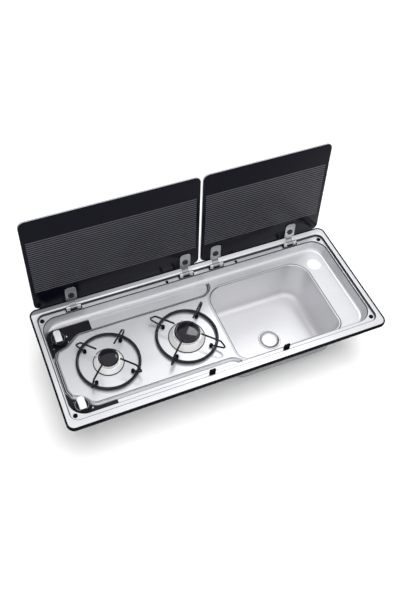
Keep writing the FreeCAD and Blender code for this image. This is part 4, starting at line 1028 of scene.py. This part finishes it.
class HOBSINK_OT_fixings(Operator):
    """Make the hinge screws, tap screws, wall rivets and rubber plugs"""
    bl_idname = "hob_sink.fixings"
    bl_label = "Screws, rivets and plugs"

    def execute(self, context):
        look = context.scene.hob_sink_fixings
        # piece, node, radius and height of a head, turn of the first cross and from one to the next
        screws = (("hinge_screw_heads", "hinge_base_screws", look.hinge_screw, 0.0006, 0.4, 1.1),
                  ("tap_screw_heads", "tap_screws", look.tap_screw, 0.0015, 0.7, 0.9))
        for name, node, radius, height, first, further in screws:
            spots = [(middle_at(box, box[1].z - height), (0, 0, first + further * index), 1)
                     for index, box in enumerate(islands(node))]
            add_scatter(name, cross_screw(radius, height), spots, "bright", "unit", "bright_steel", node)
        self.rivets(look.rivet)
        self.plugs()
        return {"FINISHED"}

    def rivets(self, radius):
        shank = -0.0012
        shares = ((1, 0), (0.92, 0.2), (0.7, 0.38), (0.4, 0.47), (0, 0.5))
        bm = bmesh.new()
        add_turned(bm, [(0, shank), (radius, shank), *scaled(shares, radius, radius)], Vector(), steps=24)
        spots = [((middle(box).x, box[0].y + radius * 0.5, middle(box).z), (math.pi / 2, 0, 0), 1)
                 for box in islands("wall_rivets")]
        add_scatter("wall_rivet_heads", mesh_from(bm, "rivet_head"), spots, "bright",
                    "unit", "bright_steel", "wall_rivets")

    def plugs(self):
        """The profile has a radius of 1, and each plug its own size."""
        profile = [(0, 0), (1, 0), (1, 0.1), (0.97, 0.2), (0.88, 0.31), (0.74, 0.37), (0.6, 0.38),
                   (0.53, 0.33), (0.46, 0.22), (0.2, 0.2), (0, 0.2)]
        bm = bmesh.new()
        add_turned(bm, profile, Vector(), steps=36)
        spots = [(middle_at(box, box[0].z), (0, 0, 0), (box[1].x - box[0].x) / 2)
                 for box in islands("fixing_plugs")]
        add_scatter("plug_heads", mesh_from(bm, "plug_head"), spots, "rubber",
                    "unit", "black_rubber", "fixing_plugs")


class HOBSINK_OT_marks(Operator):
    """Make the small flame and dot marks on the control plates"""
    bl_idname = "hob_sink.marks"
    bl_label = "Control marks"

    # Outlines, foot and top in shares of a mark's size
    OUTLINES = {
        "flames": [(0, -0.5), (0.22, -0.42), (0.34, -0.2), (0.3, 0.05), (0.14, 0.26), (0.04, 0.5),
                   (-0.02, 0.22), (-0.2, 0.1), (-0.33, -0.14), (-0.28, -0.36), (-0.14, -0.47)],
        "dots": scaled(circle(16), 0.2, 0.2),
    }
    FOOT, TOP = -0.01, 0.02
    # Round each knob, by angle and size: a large and a small flame, and dots, where the plate has room
    TURNS = {"rear": {"flames": ((20, 1.2), (338, 0.85)), "dots": ((225, 1.0),)},
             "front": {"flames": ((342, 1.2), (25, 0.85)), "dots": ((128, 1.0), (176, 0.8))}}
    FROM_SKIRT = 0.0055

    def execute(self, context):
        size = context.scene.hob_sink_fixings.mark
        for knob in KNOBS:
            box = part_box(knob + "_knob_skirt")
            hub = middle_at(box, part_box(knob + "_control_plate")[1].z)
            reach = (box[1].x - box[0].x) / 2 + self.FROM_SKIRT
            for label, turns in self.TURNS[knob].items():
                spots = []
                for degrees, scale in turns:
                    turn = math.radians(degrees)
                    place = hub + Vector((reach * math.cos(turn), reach * math.sin(turn), 0))
                    spots.append((place, (0, 0, 0), size * scale))
                bm = bmesh.new()
                add_prism(bm, self.OUTLINES[label], self.FOOT, self.TOP)
                add_scatter("%s_plate_%s" % (knob, label), mesh_from(bm, label), spots, "mark",
                            "unit", "black_plastic")
        return {"FINISHED"}


class HOBSINK_OT_stage(Operator):
    """Make the floor, the lamps, the world and the camera"""
    bl_idname = "hob_sink.stage"
    bl_label = "Stage"

    FLOOR_REACH = 8.0
    FLOOR_GAP = 0.0005
    # Shares of up, and of towards the front and left, between which the sky goes from one level to the other
    SKY_RISE = (0.05, 0.60)
    FRONT_SIDE = (-0.5, -0.86, 0.0)
    FRONT_RISE = (0.15, 0.75)
    # Directions from the unit to the lamps, their sizes, and how far the two small ones stand
    SUN_SIDE = (0.08, -0.12, 0.99)
    SUN_ANGLE = math.radians(50)
    LONG_SIDE, LONG_SIZE = (0.36, 0.40, 0.85), (0.65, 0.32)
    ROUND_SIDE, ROUND_SIZE = (0.06, 0.60, 0.79), (0.11, 0.11)
    LAMP_REACH = 2.2
    SENSOR = 36

    def execute(self, context):
        look = context.scene.hob_sink_stage
        context.scene.view_settings.view_transform = "Standard"
        self.floor(look)
        self.world(context.scene, look)
        self.lamps(look)
        self.camera(context.scene, look)
        return {"FINISHED"}

    def floor(self, look):
        material = bpy.data.materials.new("pale_floor")
        material.use_nodes = True
        tree = material.node_tree
        tree.nodes.clear()
        path = add_node(tree, "ShaderNodeLightPath").outputs
        seen = add_math(tree, "MAXIMUM", path["Is Glossy Ray"], path["Is Transmission Ray"])
        seen = add_math(tree, "MAXIMUM", path["Is Camera Ray"], seen)
        matt = add_node(tree, "ShaderNodeBsdfDiffuse", {"Color": (*look.floor, 1)})
        glow = add_node(tree, "ShaderNodeEmission")
        amount = add_math(tree, "MULTIPLY", seen, look.glow)
        blend = add_node(tree, "ShaderNodeMixShader", {
            "Fac": amount, 1: matt.outputs["BSDF"], 2: glow.outputs["Emission"]})
        add_node(tree, "ShaderNodeOutputMaterial", {"Surface": blend.outputs["Shader"]})
        FINISHES["floor"] = material
        bm = bmesh.new()
        bmesh.ops.create_grid(bm, x_segments=1, y_segments=1, size=self.FLOOR_REACH)
        bmesh.ops.translate(bm, verts=bm.verts, vec=(0, 0, CAD_BOX[0][2] - self.FLOOR_GAP))
        floor = bpy.data.objects.new("floor", mesh_from(bm, "floor", "floor"))
        bpy.context.scene.collection.objects.link(floor)

    def world(self, scene, look):
        """A sky that pales upwards and to the front, is weaker on matt surfaces, and white to the camera."""
        world = bpy.data.worlds.new("soft_studio")
        world.use_nodes = True
        tree = world.node_tree
        place = add_node(tree, "ShaderNodeTexCoord").outputs["Generated"]
        upward = add_node(tree, "ShaderNodeSeparateXYZ", {"Vector": place}).outputs["Z"]
        height = ramp(tree, upward, self.SKY_RISE, (look.horizon, 1.0), "SMOOTHSTEP")
        forward = add_vector(tree, "DOT_PRODUCT", place, self.FRONT_SIDE)
        front = ramp(tree, forward, self.FRONT_RISE, (0.0, look.front_sky), "SMOOTHSTEP")
        level = add_math(tree, "MULTIPLY", add_math(tree, "MAXIMUM", height, front), look.sky)
        path = add_node(tree, "ShaderNodeLightPath").outputs
        matt = ramp(tree, path["Is Diffuse Ray"], (0.0, 1.0), (1.0, 1.0 - look.matt_sky_dimming))
        level = add_math(tree, "MULTIPLY", level, matt)
        sky = tree.nodes["Background"].inputs
        sky["Color"].default_value = (1, 1, 1, 1)
        tree.links.new(add_math(tree, "MAXIMUM", level, path["Is Camera Ray"]), sky["Strength"])
        scene.world = world

    def lamps(self, look):
        sun = bpy.data.lights.new("main_soft_lamp", "SUN")
        sun.energy = look.sun
        sun.angle = self.SUN_ANGLE
        lamp = bpy.data.objects.new("main_soft_lamp", sun)
        lamp.rotation_euler = Vector(self.SUN_SIDE).to_track_quat("Z", "Y").to_euler()
        lamp.visible_glossy = False
        bpy.context.scene.collection.objects.link(lamp)
        self.panel("long_glint_lamp", self.LONG_SIDE, self.LONG_SIZE, look.glint)
        self.panel("round_glint_lamp", self.ROUND_SIDE, self.ROUND_SIZE, look.spark)

    def panel(self, name, toward, sides, energy):
        """A flat lamp that faces the unit from the direction toward."""
        data = bpy.data.lights.new(name, "AREA")
        data.shape = "RECTANGLE"
        data.size, data.size_y = sides
        data.energy = energy
        lamp = bpy.data.objects.new(name, data)
        lamp.location = Vector(toward).normalized() * self.LAMP_REACH
        lamp.rotation_euler = lamp.location.to_track_quat("Z", "Y").to_euler()
        bpy.context.scene.collection.objects.link(lamp)

    def camera(self, scene, look):
        side, height, lean = look.azimuth, look.elevation, look.roll
        level = math.cos(height)
        back = Vector((math.sin(side) * level, -math.cos(side) * level, math.sin(height)))
        right = Vector((math.cos(side), math.sin(side), 0))
        up = back.cross(right)
        turned_right = right * math.cos(lean) + up * math.sin(lean)
        turned_up = up * math.cos(lean) - right * math.sin(lean)
        place = turned_right * look.across + turned_up * look.above + back * look.distance
        data = bpy.data.cameras.new("photo_camera")
        data.sensor_width = self.SENSOR
        data.lens = look.lens
        data.shift_x = look.shift_x
        data.shift_y = look.shift_y
        data.dof.use_dof = False
        camera = bpy.data.objects.new("photo_camera", data)
        axes = Matrix((turned_right, turned_up, back)).transposed().to_4x4()
        camera.matrix_world = Matrix.Translation(place + Vector((0, 0, look.rim))) @ axes
        scene.collection.objects.link(camera)
        scene.camera = camera


OPERATORS = (HOBSINK_OT_finishes, HOBSINK_OT_lids, HOBSINK_OT_clamps, HOBSINK_OT_burner_lids, HOBSINK_OT_seal,
             HOBSINK_OT_foot_rings, HOBSINK_OT_plateau, HOBSINK_OT_bowl, HOBSINK_OT_knobs, HOBSINK_OT_fixings,
             HOBSINK_OT_marks, HOBSINK_OT_stage)


class HOBSINK_PT_panel(Panel):
    """Buttons that make each group of pieces"""
    bl_idname = "HOBSINK_PT_panel"
    bl_label = "Hob and sink unit"
    bl_space_type = "VIEW_3D"
    bl_region_type = "UI"
    bl_category = "Hob and sink"

    def draw(self, context):
        for operator in OPERATORS:
            self.layout.operator(operator.bl_idname)
        for name in SETTINGS:
            settings = getattr(context.scene, name)
            box = self.layout.box()
            for key in settings.__annotations__:
                box.prop(settings, key)


def register():
    for name, group in SETTINGS.items():
        bpy.utils.register_class(group)
        setattr(bpy.types.Scene, name, PointerProperty(type=group))
    for item in (*OPERATORS, HOBSINK_PT_panel):
        bpy.utils.register_class(item)


def unregister():
    for item in reversed((*OPERATORS, HOBSINK_PT_panel)):
        bpy.utils.unregister_class(item)
    for name, group in reversed(SETTINGS.items()):
        delattr(bpy.types.Scene, name)
        bpy.utils.unregister_class(group)


def main():
    register()
    bpy.ops.hob_sink.finishes()
    bpy.ops.hob_sink.lids()
    bpy.ops.hob_sink.clamps()
    bpy.ops.hob_sink.burner_lids()
    bpy.ops.hob_sink.seal()
    bpy.ops.hob_sink.gaskets()
    bpy.ops.hob_sink.plateau()
    bpy.ops.hob_sink.bowl()
    bpy.ops.hob_sink.knobs()
    bpy.ops.hob_sink.fixings()
    bpy.ops.hob_sink.marks()
    bpy.ops.hob_sink.stage()


if __name__ == "__main__":
    main()
